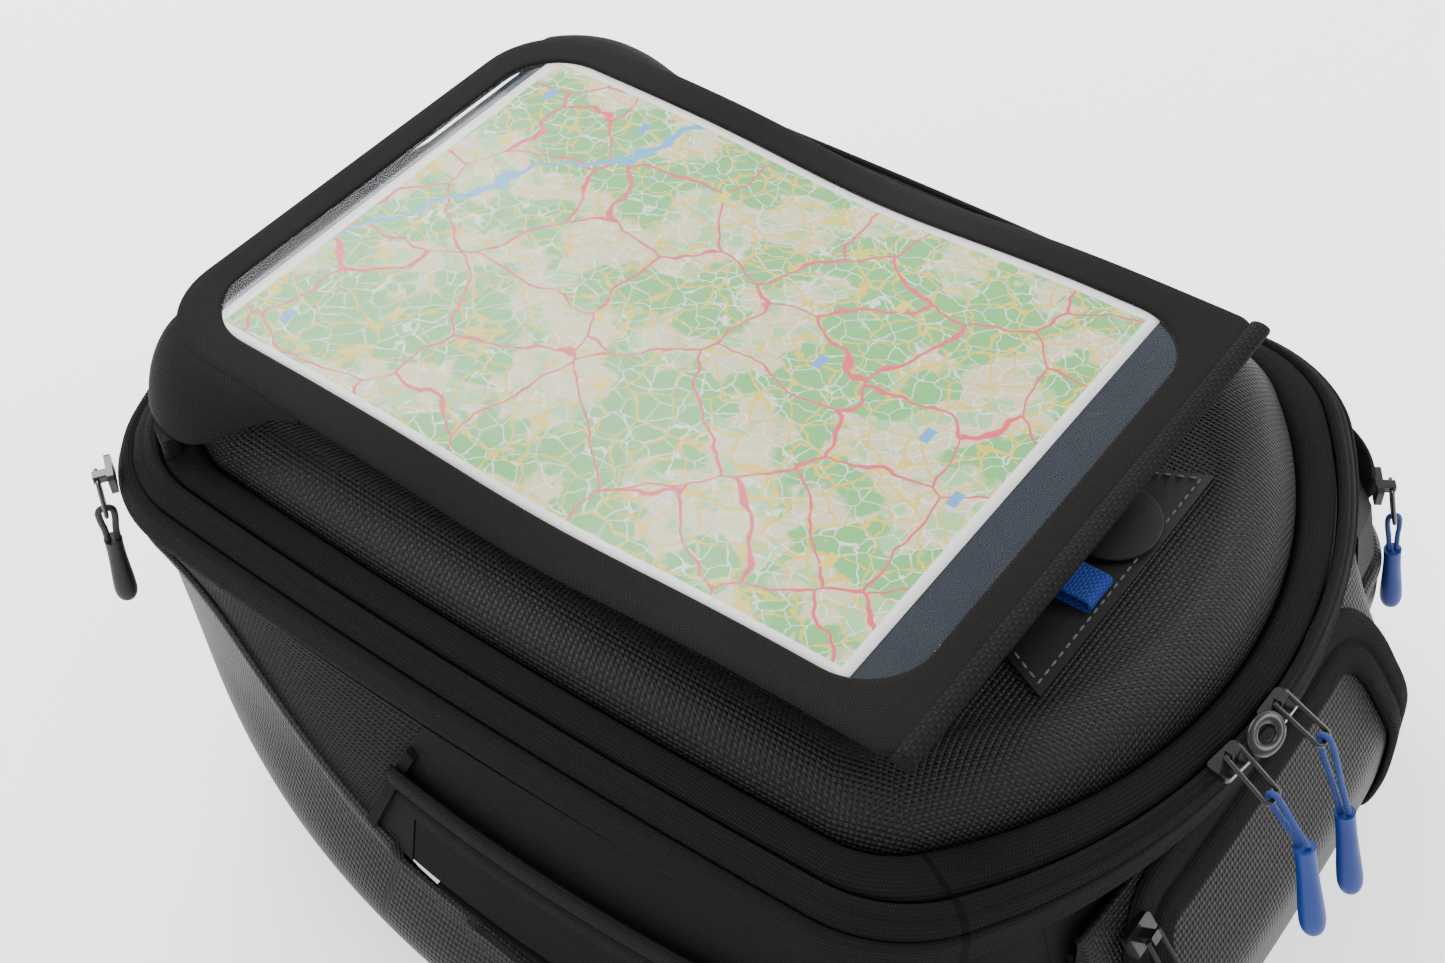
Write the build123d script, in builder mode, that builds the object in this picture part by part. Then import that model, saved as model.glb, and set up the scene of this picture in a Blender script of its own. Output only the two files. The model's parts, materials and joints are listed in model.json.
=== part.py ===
"""Motorcycle tank bag: moulded tub with wings, zipped lid, clear map holder, rear and side pockets.

Millimetres. +X is the rider's right, +Y is forward, +Z is up, z = 0 is the non-slip base.
"""
from build123d import *
from math import atan2, cos, pi, radians, sin, sqrt, tan
import os

os.makedirs("parts", exist_ok=True)

# ---- main zip ring, which most other places are measured from
ZIP_Z = 185.0
RING_HALF = 150.0
RING_FRONT = 238.0
RING_REAR = -208.0
RING_CORNER = 50.0
RING_SIDE_BOW = 5.0
RING_FRONT_BOW = 45.0
RING_REAR_BOW = 60.0
ZIP_GAP = 0.15

# ---- soft bands and walls
TAPE_EDGE = 2.6
BAND_WIDTH = 6.8
BAND_TOP = ZIP_Z - 1.4
BAND_FILLET = 2.4
GUSSET_TOP = 173.0
GUSSET_BOTTOM = 163.0
GUSSET_INNER = 5.0
GUSSET_OUTER = 15.5
PANEL_TOP = 162.5
PANEL_WALL = 3.0
SHELL_WALL = 5.0
SHELL_BOTTOM = 38.5
FLOOR_WALL = 2.0
SKIRT_TOP = 38.0
SEAM = 0.3
REAR_SHARE = 0.35

# ---- base and docking ring
PAD_HEIGHT = 3.0
DOCK_OUTER_R = 80.0
DOCK_BORE_R = 65.0
DOCK_MOUTH_Z = 0.0
DOCK_BORE_LENGTH = 10.0
DOCK_TOP_Z = 16.5
DOCK_LID_WALL = 3.0
DOCK_BOLT_R = 72.5
DOCK_BOLT_COUNT = 6
DOCK_HOLE_R = 2.2
DOCK_SCREW_R = 1.95
DOCK_HEAD_R = 3.9
DOCK_HEAD_DEPTH = 2.6
DOCK_CLEARANCE = 2.0
PLATE_BOTTOM = 16.8
PLATE_WALL = 3.0
LATCH_HALF_WIDTH = 11.0

# ---- lid
LID_EDGE = -13.4
LID_TOP = 205.0
LID_BOTTOM = 177.0
LID_FILLET = 17.0
LID_WALL = 4.0
LID_FLAT_EDGE = -40.0
LID_FLAT_Z = 200.0
LINER_OUTSET = -16.0
LINER_WALL = 1.6
LINER_FLOOR_Z = 21.0
LINER_TOP = 173.0

# ---- map holder
MAP_HALF = 122.0
MAP_FRONT = 216.0
MAP_REAR = -138.0
MAP_Z = 219.0
MAP_WALL = 3.0
MAP_FRONT_R = 38.0
MAP_REAR_R = 8.0
WINDOW_HALF = 105.0
WINDOW_FRONT = 202.0
WINDOW_REAR = -120.0
WINDOW_R = 27.0
WINDOW_OVERLAP = 4.0
SHEET_WIDTH = 210.0
SHEET_LENGTH = 297.0
SHEET_REAR = -103.0

# ---- rear pocket
POCKET_HALF = 105.0
POCKET_WALL = 4.0
POCKET_HINGE_Z = 33.0
POCKET_TOP = 150.0
POCKET_GAP = 0.8

# ---- carry handle
HANDLE_BOTTOM = 132.0
HANDLE_WIDTH = 26.0
HANDLE_HALF = 78.0
HANDLE_REACH = 274.0
HANDLE_WALL = 3.0

# ---- side pockets
DOOR_REAR = -160.0
DOOR_FRONT = 30.0
DOOR_BOTTOM = 102.0
DOOR_TOP = 126.0
SIDE_ZIP_HEIGHT = 8.0
DOOR_CLEARANCE = 3.0
STRAP_NEAR = 128.0
STRAP_FAR = 148.0

# ---- zip pulls
CORD_R = 1.1
GRIP_R = 4.6
BAIL_R = 0.9
BAIL_WIDTH = 7.0


def bowed_outline(height, front_half, rear_half, front, rear, corner, side_bow, front_bow, rear_bow):
    """A face made of four shallow arcs with rounded corners."""
    front_corner_y = front - front_bow
    rear_corner_y = rear + rear_bow
    middle_y = (front_corner_y + rear_corner_y) / 2
    middle_half = (front_half + rear_half) / 2 + side_bow
    with BuildSketch(Plane.XY.offset(height)) as outline:
        with BuildLine():
            ThreePointArc((-rear_half, rear_corner_y), (0, rear), (rear_half, rear_corner_y))
            ThreePointArc((rear_half, rear_corner_y), (middle_half, middle_y), (front_half, front_corner_y))
            ThreePointArc((front_half, front_corner_y), (0, front), (-front_half, front_corner_y))
            left_middle = (-middle_half, middle_y)
            ThreePointArc((-front_half, front_corner_y), left_middle, (-rear_half, rear_corner_y))
        make_face()
        fillet(outline.vertices(), corner)
    return outline.sketch


def ring_outline(height, outset, rear_share=1.0):
    """The main zip's outline, moved outward by outset, or by a share of it at the rear."""
    return bowed_outline(
        height,
        RING_HALF + outset,
        RING_HALF + outset,
        RING_FRONT + outset,
        RING_REAR - outset * rear_share,
        RING_CORNER + 0.8 * outset,
        RING_SIDE_BOW,
        RING_FRONT_BOW,
        RING_REAR_BOW,
    )


def ring_band(bottom, top, inner, outer, round_edges=0.0, rear_share=1.0):
    """A closed band that follows the main zip between two outsets."""
    with BuildPart() as band:
        extrude(ring_outline(bottom, outer, rear_share), amount=top - bottom)
        extrude(ring_outline(bottom, inner, rear_share), amount=top - bottom, mode=Mode.SUBTRACT)
        if round_edges > 0:
            fillet(band.faces().sort_by(Axis.Z)[-1].edges(), round_edges)
    return band


# height: front half, rear half, front, rear, corner, side bow, front bow, rear bow
BODY_STATIONS = {
    PAD_HEIGHT: (128, 150, 222, -196, 34, 30, 30, 6),
    SKIRT_TOP: (136, 162, 232, -200, 36, 38, 32, 8),
    72.0: (142, 176, 240, -202, 38, 48, 36, 8),
    100.0: (145, 172, 243, -199, 38, 34, 38, 10),
    130.0: (148, 168, 246, -197, 40, 26, 40, 16),
    PANEL_TOP: (163, 163, 250, -205, 58, 8, 45, 54),
}


def station_outline(height, outset):
    """The bag's outside outline at one of the stations, grown by outset."""
    front_half, rear_half, front, rear, corner, side_bow, front_bow, rear_bow = BODY_STATIONS[height]
    return bowed_outline(
        height,
        front_half + outset,
        rear_half + outset,
        front + outset,
        rear - outset,
        corner + 0.8 * outset,
        side_bow,
        front_bow,
        rear_bow,
    )


def body_volume(outset):
    """The filled outside shape of the bag below its lid, grown by outset."""
    sections = [station_outline(height, outset) for height in BODY_STATIONS]
    with BuildPart() as volume:
        loft(sections=sections, ruled=True)
    return volume.part


def corner_arc(outline, side, end):
    """The rounded corner of an outline on one side (-1 left, +1 right) and end (-1 rear, +1 front)."""
    def reach(edge):
        return side * edge.center().X + end * edge.center().Y
    rounded = sorted(outline.edges().filter_by(GeomType.CIRCLE), key=lambda edge: edge.radius)[0:4]
    return max(rounded, key=reach)


def below_rim(raise_by=0.0):
    """Everything below the swooping rim of the moulded tub."""
    with BuildPart() as region:
        with BuildSketch(Plane.YZ):
            with BuildLine():
                rim = Spline(
                    (300, 168 + raise_by),
                    (170, 142 + raise_by),
                    (90, 112 + raise_by),
                    (0, 97 + raise_by),
                    (-120, 92 + raise_by),
                    (-300, 90 + raise_by),
                )
                Polyline(rim @ 1, (-300, -50), (300, -50), rim @ 0)
            make_face()
        extrude(amount=300, both=True)
    return region.part


def box_region(low, high):
    """A plain box between two corners."""
    size = [high[i] - low[i] for i in range(3)]
    centre = [(high[i] + low[i]) / 2 for i in range(3)]
    return Pos(*centre) * Box(*size, mode=Mode.PRIVATE)


def rear_arc_point(x, outset, height):
    """A point on the rear stretch of the main zip, moved outward by outset."""
    radius = (RING_HALF ** 2 + RING_REAR_BOW ** 2) / (2 * RING_REAR_BOW)
    centre_y = RING_REAR + radius
    angle = atan2(x, sqrt(radius ** 2 - x ** 2))
    reach = radius + outset
    return Vector(reach * sin(angle), centre_y - reach * cos(angle), height)


def keep(piece, node):
    """Label one finished piece and write it to its own file."""
    piece.part.label = node
    export_step(piece.part, f"parts/{node}.step")


body_outside = body_volume(0)
body_inside_shell = body_volume(-SHELL_WALL)
body_inside_panel = body_volume(-PANEL_WALL)
body_clearance = body_volume(POCKET_GAP)
tub_region = below_rim()
panel_region_cut = below_rim(SEAM)


# ======================================================================== base
with BuildPart() as base_pad:
    extrude(bowed_outline(0, 122, 142, 214, -188, 30, 26, 28, 6), amount=PAD_HEIGHT - SEAM)
    with BuildSketch():
        Circle(DOCK_OUTER_R + DOCK_CLEARANCE)
    extrude(amount=PAD_HEIGHT, mode=Mode.SUBTRACT)
keep(base_pad, "base_pad")

with BuildPart() as docking_ring:
    with BuildSketch(Plane.XY.offset(DOCK_MOUTH_Z)):
        Circle(DOCK_OUTER_R)
    extrude(amount=DOCK_TOP_Z - DOCK_MOUTH_Z)
    with BuildSketch(Plane.XY.offset(DOCK_MOUTH_Z)):
        Circle(DOCK_BORE_R)
    extrude(amount=DOCK_TOP_Z - DOCK_LID_WALL - DOCK_MOUTH_Z, mode=Mode.SUBTRACT)
    # the latch runs through a slot above the bore's wall
    slot_bottom = DOCK_MOUTH_Z + DOCK_BORE_LENGTH
    slot_top = DOCK_TOP_Z - DOCK_LID_WALL
    with BuildSketch(Plane.XY.offset(slot_bottom)):
        with Locations((0, DOCK_OUTER_R)):
            Rectangle(2 * LATCH_HALF_WIDTH + 1, 2 * (DOCK_OUTER_R - 50))
    extrude(amount=slot_top - slot_bottom, mode=Mode.SUBTRACT)
    # a relief keeps the bore's round wall exactly as long as the docking length
    with BuildSketch(Plane.XY.offset(slot_bottom)):
        Circle(DOCK_BORE_R + 2)
    extrude(amount=slot_top - slot_bottom, mode=Mode.SUBTRACT)
    with BuildSketch(Plane.XY.offset(DOCK_MOUTH_Z)):
        with PolarLocations(DOCK_BOLT_R, DOCK_BOLT_COUNT):
            Circle(DOCK_HOLE_R)
    extrude(amount=DOCK_TOP_Z, mode=Mode.SUBTRACT)
    with BuildSketch(Plane.XY.offset(DOCK_MOUTH_Z)):
        with PolarLocations(DOCK_BOLT_R, DOCK_BOLT_COUNT):
            Circle(DOCK_HEAD_R + SEAM)
    extrude(amount=DOCK_HEAD_DEPTH + SEAM, mode=Mode.SUBTRACT)
keep(docking_ring, "docking_ring")

with BuildPart() as base_plate:
    extrude(bowed_outline(PLATE_BOTTOM, 112, 128, 200, -176, 30, 22, 26, 6), amount=PLATE_WALL)
    with BuildSketch(Plane.XY.offset(PLATE_BOTTOM)):
        with PolarLocations(DOCK_BOLT_R, DOCK_BOLT_COUNT):
            Circle(DOCK_HOLE_R)
    extrude(amount=PLATE_WALL, mode=Mode.SUBTRACT)
keep(base_plate, "base_plate")

with BuildPart() as docking_screws:
    with BuildSketch(Plane.XY.offset(DOCK_MOUTH_Z + SEAM)):
        with PolarLocations(DOCK_BOLT_R, DOCK_BOLT_COUNT):
            Circle(DOCK_HEAD_R)
    extrude(amount=DOCK_HEAD_DEPTH)
    with BuildSketch(Plane.XY.offset(DOCK_MOUTH_Z + SEAM)):
        with PolarLocations(DOCK_BOLT_R, DOCK_BOLT_COUNT):
            Circle(DOCK_SCREW_R)
    extrude(amount=PLATE_BOTTOM + PLATE_WALL - DOCK_MOUTH_Z - SEAM)
    with BuildSketch(Plane.XY.offset(DOCK_MOUTH_Z + SEAM)):
        with PolarLocations(DOCK_BOLT_R, DOCK_BOLT_COUNT):
            RegularPolygon(DOCK_SCREW_R, 6)
    extrude(amount=DOCK_HEAD_DEPTH / 2, mode=Mode.SUBTRACT)
keep(docking_screws, "docking_screws")

with BuildPart() as base_skirt:
    add(body_outside)
    add(body_inside_panel, mode=Mode.SUBTRACT)
    extrude(bowed_outline(PAD_HEIGHT, 126, 148, 220, -194, 32, 30, 30, 6), amount=PANEL_WALL)
    add(box_region((-300, -300, SKIRT_TOP), (300, 300, 200)), mode=Mode.SUBTRACT)
    with BuildSketch(Plane.XY):
        Circle(DOCK_OUTER_R + DOCK_CLEARANCE)
    extrude(amount=SKIRT_TOP, mode=Mode.SUBTRACT)
    # the release strap leaves through a slot in the front wall
    add(
        box_region(
            (-LATCH_HALF_WIDTH - 1, 150, DOCK_MOUTH_Z + DOCK_BORE_LENGTH),
            (LATCH_HALF_WIDTH + 1, 260, DOCK_TOP_Z - DOCK_LID_WALL),
        ),
        mode=Mode.SUBTRACT,
    )
keep(base_skirt, "base_skirt")

# ======================================================================== release latch
latch_bottom = DOCK_MOUTH_Z + DOCK_BORE_LENGTH + 0.4
latch_thickness = 2.4
with BuildPart() as latch_plate:
    with BuildSketch(Plane.XY.offset(latch_bottom)):
        with Locations((0, 140)):
            Rectangle(2 * LATCH_HALF_WIDTH, 190)
        with Locations((0, 45)):
            Circle(LATCH_HALF_WIDTH)
    extrude(amount=latch_thickness)
    with BuildSketch(Plane.XY.offset(latch_bottom)):
        with Locations((0, 110)):
            SlotOverall(30, 7, rotation=90)
    extrude(amount=latch_thickness, mode=Mode.SUBTRACT)
keep(latch_plate, "latch_plate")

with BuildPart() as release_tab:
    with BuildSketch(Plane.XY.offset(latch_bottom)):
        with Locations((0, 253)):
            RectangleRounded(2 * LATCH_HALF_WIDTH, 35, 5)
    extrude(amount=latch_thickness)
    with BuildSketch(Plane.XY.offset(latch_bottom)):
        with Locations((0, 258)):
            SlotOverall(14, 6)
    extrude(amount=latch_thickness, mode=Mode.SUBTRACT)
keep(release_tab, "release_tab")

# ======================================================================== tub, liner and panels
with BuildPart() as bottom_shell:
    add(body_outside)
    add(body_inside_shell, mode=Mode.SUBTRACT)
    add(tub_region, mode=Mode.INTERSECT)
    add(box_region((-300, -300, 0), (300, 300, SHELL_BOTTOM)), mode=Mode.SUBTRACT)
    # its floor carries the side pockets and has the main compartment through it
    floor_height = SHELL_BOTTOM + FLOOR_WALL
    extrude(station_outline(SKIRT_TOP, -SHELL_WALL + 1).moved(Location((0, 0, SEAM * 2))), amount=FLOOR_WALL)
    extrude(ring_outline(SHELL_BOTTOM, LINER_OUTSET + SEAM), amount=floor_height, mode=Mode.SUBTRACT)
keep(bottom_shell, "bottom_shell")

with BuildPart() as main_liner:
    extrude(ring_outline(LINER_FLOOR_Z, LINER_OUTSET), amount=LINER_TOP - LINER_FLOOR_Z)
    liner_room = ring_outline(LINER_FLOOR_Z + LINER_WALL, LINER_OUTSET - LINER_WALL)
    extrude(liner_room, amount=LINER_TOP, mode=Mode.SUBTRACT)
keep(main_liner, "main_liner")

PANEL_SPLIT = 108.0


def side_wall_piece(low, high):
    """Fabric wall above the tub's rim, inside one box."""
    with BuildPart() as wall:
        add(body_outside)
        add(body_inside_panel, mode=Mode.SUBTRACT)
        add(panel_region_cut, mode=Mode.SUBTRACT)
        add(box_region(low, high), mode=Mode.INTERSECT)
    return wall


def door_box(side, margin, below):
    """The box round one side pocket's door; side is -1 on the left and +1 on the right."""
    near = side * 120
    far = side * 260
    low = (min(near, far), DOOR_REAR - margin, DOOR_BOTTOM - below)
    high = (max(near, far), DOOR_FRONT + margin, DOOR_TOP + margin)
    return box_region(low, high)


def side_panel(side):
    """One side's fabric wall with the opening for its pocket door."""
    near = side * (PANEL_SPLIT + SEAM / 2)
    far = side * 300
    wall = side_wall_piece((min(near, far), -300, 0), (max(near, far), 300, 300))
    with BuildPart() as panel:
        add(wall.part)
        add(door_box(side, 1.0, DOOR_CLEARANCE), mode=Mode.SUBTRACT)
    return panel


def side_door(side):
    """The fabric door below one side pocket's zip."""
    with BuildPart() as door:
        add(body_outside)
        add(body_inside_panel, mode=Mode.SUBTRACT)
        add(door_box(side, 0, 0), mode=Mode.INTERSECT)
    return door


def side_zip(side):
    """Raised zip tape above one side pocket's door."""
    with BuildPart() as tape:
        add(body_volume(1.8))
        add(body_volume(SEAM), mode=Mode.SUBTRACT)
        low_x = min(side * (STRAP_FAR + 1), side * 260)
        high_x = max(side * (STRAP_FAR + 1), side * 260)
        bottom = DOOR_TOP + 1.4
        region = box_region((low_x, -300, bottom), (high_x, DOOR_FRONT, bottom + SIDE_ZIP_HEIGHT))
        add(region, mode=Mode.INTERSECT)
    return tape


keep(side_panel(-1), "side_panel_left")
keep(side_panel(1), "side_panel_right")
keep(side_door(-1), "side_pocket_cover_left")
keep(side_door(1), "side_pocket_cover_right")
with BuildPart() as side_zips:
    add(side_zip(-1).part)
    add(side_zip(1).part)
keep(side_zips, "side_zips")

front_split = PANEL_SPLIT - SEAM / 2
with BuildPart() as end_panels:
    add(side_wall_piece((-front_split, 0, 0), (front_split, 300, 300)).part)
    add(side_wall_piece((-front_split, -300, 0), (front_split, 0, 300)).part)
keep(end_panels, "end_panels")

with BuildPart() as side_piping:
    # a raised bead slants down in front of each side pocket
    with BuildPart(mode=Mode.PRIVATE) as slants:
        with BuildSketch(Plane.YZ):
            with BuildLine():
                Polyline((36, 152), (54, 107), (50, 105), (32, 150), close=True)
            make_face()
        extrude(amount=300, both=True)
    add(body_volume(3.0))
    add(body_volume(SEAM), mode=Mode.SUBTRACT)
    add(slants.part, mode=Mode.INTERSECT)
keep(side_piping, "side_piping")

# ======================================================================== zip bands
band_bottom = GUSSET_TOP + 3.2
body_band = ring_band(band_bottom, BAND_TOP, TAPE_EDGE, TAPE_EDGE + BAND_WIDTH, BAND_FILLET)
keep(body_band, "body_band")
with BuildPart() as body_zips:
    add(ring_band(ZIP_Z - 2.4, ZIP_Z - 0.4, ZIP_GAP, TAPE_EDGE - 0.2).part)
    add(ring_band(GUSSET_TOP + 0.4, band_bottom - 0.4, 7.0, 11.0, rear_share=REAR_SHARE).part)
keep(body_zips, "body_zips")
gusset_band = ring_band(GUSSET_BOTTOM, GUSSET_TOP, GUSSET_INNER, GUSSET_OUTER, 1.4, REAR_SHARE)
keep(gusset_band, "gusset_band")

# ======================================================================== lid
with BuildPart() as lid_shell:
    extrude(ring_outline(LID_BOTTOM, LID_EDGE), amount=LID_TOP - LID_BOTTOM)
    fillet(lid_shell.faces().sort_by(Axis.Z)[-1].edges(), LID_FILLET)
    # the middle of the lid is flat and a little lower than its puffy rim
    extrude(ring_outline(LID_FLAT_Z, LID_FLAT_EDGE), amount=LID_TOP, mode=Mode.SUBTRACT)
    lid_room = ring_outline(LID_BOTTOM, LID_EDGE - LID_WALL - 10)
    extrude(lid_room, amount=LID_FLAT_Z - LID_WALL - LID_BOTTOM, mode=Mode.SUBTRACT)
keep(lid_shell, "lid_shell")

lid_band = ring_band(LID_BOTTOM, ZIP_Z + 1, LID_EDGE + SEAM, -TAPE_EDGE, BAND_FILLET)
keep(lid_band, "lid_band")
lid_zip = ring_band(ZIP_Z - 2.4, ZIP_Z - 0.4, -TAPE_EDGE + 0.2, -ZIP_GAP)
keep(lid_zip, "lid_zip")

with BuildPart() as lid_liner:
    extrude(ring_outline(LID_BOTTOM + 4, LID_EDGE - LID_WALL - 10 - SEAM), amount=LINER_WALL)
keep(lid_liner, "lid_liner")

PATCH_REAR = -146.0
PATCH_FRONT = -30.0
PATCH_TOP = LID_FLAT_Z + 2.0
with BuildPart() as lid_patch:
    with BuildSketch(Plane.XY.offset(LID_FLAT_Z + 0.2)) as patch_outline:
        with BuildLine():
            Polyline(
                (-60, PATCH_REAR),
                (60, PATCH_REAR),
                (45, PATCH_REAR + 24),
                (45, PATCH_FRONT),
                (-45, PATCH_FRONT),
                (-45, PATCH_REAR + 24),
                close=True,
            )
        make_face()
        fillet(patch_outline.vertices(), 2)
    extrude(amount=PATCH_TOP - LID_FLAT_Z - 0.2)
keep(lid_patch, "lid_patch")

with BuildPart() as lid_tab:
    with BuildSketch(Plane.XY.offset(PATCH_TOP)):
        with BuildLine():
            tab_end = ThreePointArc((12, -122), (24, -134), (12, -146))
            Polyline(tab_end @ 1, (-6, -144), (-6, -124), tab_end @ 0)
        make_face()
    extrude(amount=3)
keep(lid_tab, "lid_tab")


def webbing_loop(centre, width, reach, height, thickness):
    """A standing webbing loop: a flat strap bent over into an open eye, wide along X."""
    with BuildPart() as loop:
        with BuildSketch(Plane.YZ.offset(centre[0] - width / 2)):
            with Locations((centre[1], centre[2] + height / 2)):
                RectangleRounded(reach, height, height / 2 - 0.05)
            with Locations((centre[1], centre[2] + height / 2)):
                RectangleRounded(
                    reach - 2 * thickness,
                    height - 2 * thickness,
                    height / 2 - thickness - 0.05,
                    mode=Mode.SUBTRACT,
                )
        extrude(amount=width)
    return loop


keep(webbing_loop((-14, -134, PATCH_TOP), 15, 26, 6, 1.2), "lid_rear_loop")

ANCHOR_X = 140.0
ANCHOR_Y = 187.0
ANCHOR_TURN = 62.0
with BuildPart() as lid_anchors:
    for side in (-1, 1):
        with BuildSketch(Plane.XY.offset(ZIP_Z + 1.2)):
            with Locations((side * ANCHOR_X, ANCHOR_Y)):
                RectangleRounded(14, 8, 2.5, rotation=-side * ANCHOR_TURN)
        extrude(amount=10)
keep(lid_anchors, "lid_anchors")

# ======================================================================== map holder
with BuildPart() as map_frame:
    with BuildSketch(Plane.XY.offset(MAP_Z)) as frame_outline:
        with Locations((0, (MAP_FRONT + MAP_REAR) / 2)):
            Rectangle(2 * MAP_HALF, MAP_FRONT - MAP_REAR)
        fillet(frame_outline.vertices().group_by(Axis.Y)[-1], MAP_FRONT_R)
        fillet(frame_outline.vertices().group_by(Axis.Y)[0], MAP_REAR_R)
    extrude(amount=MAP_WALL)
    with BuildSketch(Plane.XY.offset(MAP_Z)):
        with Locations((0, (WINDOW_FRONT + WINDOW_REAR) / 2)):
            RectangleRounded(2 * WINDOW_HALF, WINDOW_FRONT - WINDOW_REAR, WINDOW_R)
    extrude(amount=MAP_WALL, mode=Mode.SUBTRACT)
    # the pocket for the window, the sheet and the backing
    pocket_length = WINDOW_FRONT - WINDOW_REAR + 2 * WINDOW_OVERLAP
    with BuildSketch(Plane.XY.offset(MAP_Z + 0.6)):
        with Locations((0, (WINDOW_FRONT + WINDOW_REAR) / 2)):
            Rectangle(2 * (WINDOW_HALF + WINDOW_OVERLAP), pocket_length)
    extrude(amount=MAP_WALL - 1.2, mode=Mode.SUBTRACT)
keep(map_frame, "map_frame")


def map_layer(bottom, thickness, inset):
    """One flat layer inside the holder's pocket."""
    with BuildPart() as layer:
        with BuildSketch(Plane.XY.offset(bottom)):
            with Locations((0, (WINDOW_FRONT + WINDOW_REAR) / 2)):
                RectangleRounded(
                    2 * (WINDOW_HALF + WINDOW_OVERLAP - inset),
                    WINDOW_FRONT - WINDOW_REAR + 2 * (WINDOW_OVERLAP - inset),
                    WINDOW_R / 3,
                )
        extrude(amount=thickness)
    return layer


keep(map_layer(MAP_Z + 0.7, 0.5, 0.4), "map_backing")
keep(map_layer(MAP_Z + 1.8, 0.5, 0.4), "map_window")

with BuildPart() as map_sheet:
    with BuildSketch(Plane.XY.offset(MAP_Z + 1.35)):
        with Locations((0, SHEET_REAR + SHEET_LENGTH / 2)):
            Rectangle(SHEET_WIDTH, SHEET_LENGTH)
    extrude(amount=0.3)
keep(map_sheet, "map_sheet")

with BuildPart() as map_binding:
    with BuildSketch(Plane.XY.offset(MAP_Z - 1)):
        with Locations((0, MAP_REAR - SEAM - 4)):
            Rectangle(2 * MAP_HALF - 2, 8)
    extrude(amount=MAP_WALL + 1.5)
    fillet(map_binding.edges().filter_by(Axis.X), 1.6)
keep(map_binding, "map_binding")

with BuildPart() as map_wings:
    for side in (-1, 1):
        with BuildSketch(Plane.XZ.offset(-205)):
            with BuildLine():
                Polyline(
                    (side * (MAP_HALF + 0.4), MAP_Z + 2.5),
                    (side * (MAP_HALF + 14), MAP_Z - 18),
                    (side * (MAP_HALF + 12.4), MAP_Z - 18),
                    (side * (MAP_HALF + 0.4), MAP_Z + 0.2),
                    close=True,
                )
            make_face()
        extrude(amount=55)
keep(map_wings, "map_wings")

# ======================================================================== rear pocket
pocket_top_slope = [(-150, POCKET_TOP), (-200, POCKET_TOP), (-238, 95), (-236, 46), (-222, POCKET_HINGE_Z)]
with BuildPart() as rear_pocket_cover:
    with BuildSketch(Plane.YZ) as pocket_side:
        with BuildLine():
            Polyline(*pocket_top_slope, (-150, POCKET_HINGE_Z), close=True)
        make_face()
        fillet(pocket_side.vertices().sort_by(Axis.X)[0:3], 9)
    extrude(amount=POCKET_HALF, both=True)
    cover_edges = rear_pocket_cover.edges()
    side_edges = cover_edges.filter_by(lambda edge: abs(abs(edge.center().X) - POCKET_HALF) < 0.1)
    rounded = side_edges.filter_by(lambda edge: edge.center().Y < -190)
    fillet(rounded, 7)
    offset(amount=-POCKET_WALL, openings=rear_pocket_cover.faces().sort_by(Axis.Y)[-1])
    add(body_clearance, mode=Mode.SUBTRACT)
keep(rear_pocket_cover, "rear_pocket_cover")

with BuildPart() as rear_pocket_tape:
    # the fixed half of the pocket's zip follows the mouth across the top and down both ends
    add(body_volume(2.4))
    add(body_volume(SEAM), mode=Mode.SUBTRACT)
    inner_half = POCKET_HALF - POCKET_WALL - 1
    inner_top = POCKET_TOP - 17
    add(box_region((-inner_half, -300, 75), (inner_half, -150, inner_top)), mode=Mode.INTERSECT)
    add(box_region((-inner_half + 8, -300, 0), (inner_half - 8, -150, inner_top - 8)), mode=Mode.SUBTRACT)
keep(rear_pocket_tape, "rear_pocket_tape")

# ======================================================================== handle and straps
with BuildPart() as carry_handle:
    # a webbing strap bowed forward from the front wall, with room for the fingers behind it
    with BuildSketch(Plane.XY.offset(HANDLE_BOTTOM)):
        with BuildLine():
            outer = ThreePointArc((-HANDLE_HALF, 243), (0, HANDLE_REACH), (HANDLE_HALF, 243))
            inner_half = HANDLE_HALF - 9
            inner_middle = (0, HANDLE_REACH - HANDLE_WALL)
            inner = ThreePointArc((inner_half, 243), inner_middle, (-inner_half, 243))
            Line(outer @ 1, inner @ 0)
            Line(inner @ 1, outer @ 0)
        make_face()
    extrude(amount=HANDLE_WIDTH)
    add(body_volume(SEAM), mode=Mode.SUBTRACT)
keep(carry_handle, "carry_handle")


def side_strap(side):
    """A short webbing band at the rear end of one side pocket's zip."""
    with BuildPart() as strap:
        add(body_volume(2.2))
        add(body_volume(SEAM), mode=Mode.SUBTRACT)
        low_x = min(side * STRAP_NEAR, side * STRAP_FAR)
        high_x = max(side * STRAP_NEAR, side * STRAP_FAR)
        region = box_region((low_x, -300, 104), (high_x, -100, 140))
        add(region, mode=Mode.INTERSECT)
    return strap


with BuildPart() as side_straps:
    add(side_strap(-1).part)
    add(side_strap(1).part)
keep(side_straps, "side_straps")


# ======================================================================== zip sliders and pulls
# Every slider has a plane of its own: X along its zip, Y against the way the pull hangs, Z off the zip.
SLIDER_LENGTH = 15.0
SLIDER_WIDTH = 9.4
SLIDER_PLATE = 2.6
NECK_LENGTH = 4.6
NECK_WIDTH = 3.6
NECK_HEIGHT = 8.4
PIVOT_HEIGHT = 6.9
PIVOT_CLEARANCE = 0.05
BAIL_LENGTH = 20.0
SLIDER_LIFT = 0.6


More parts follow.
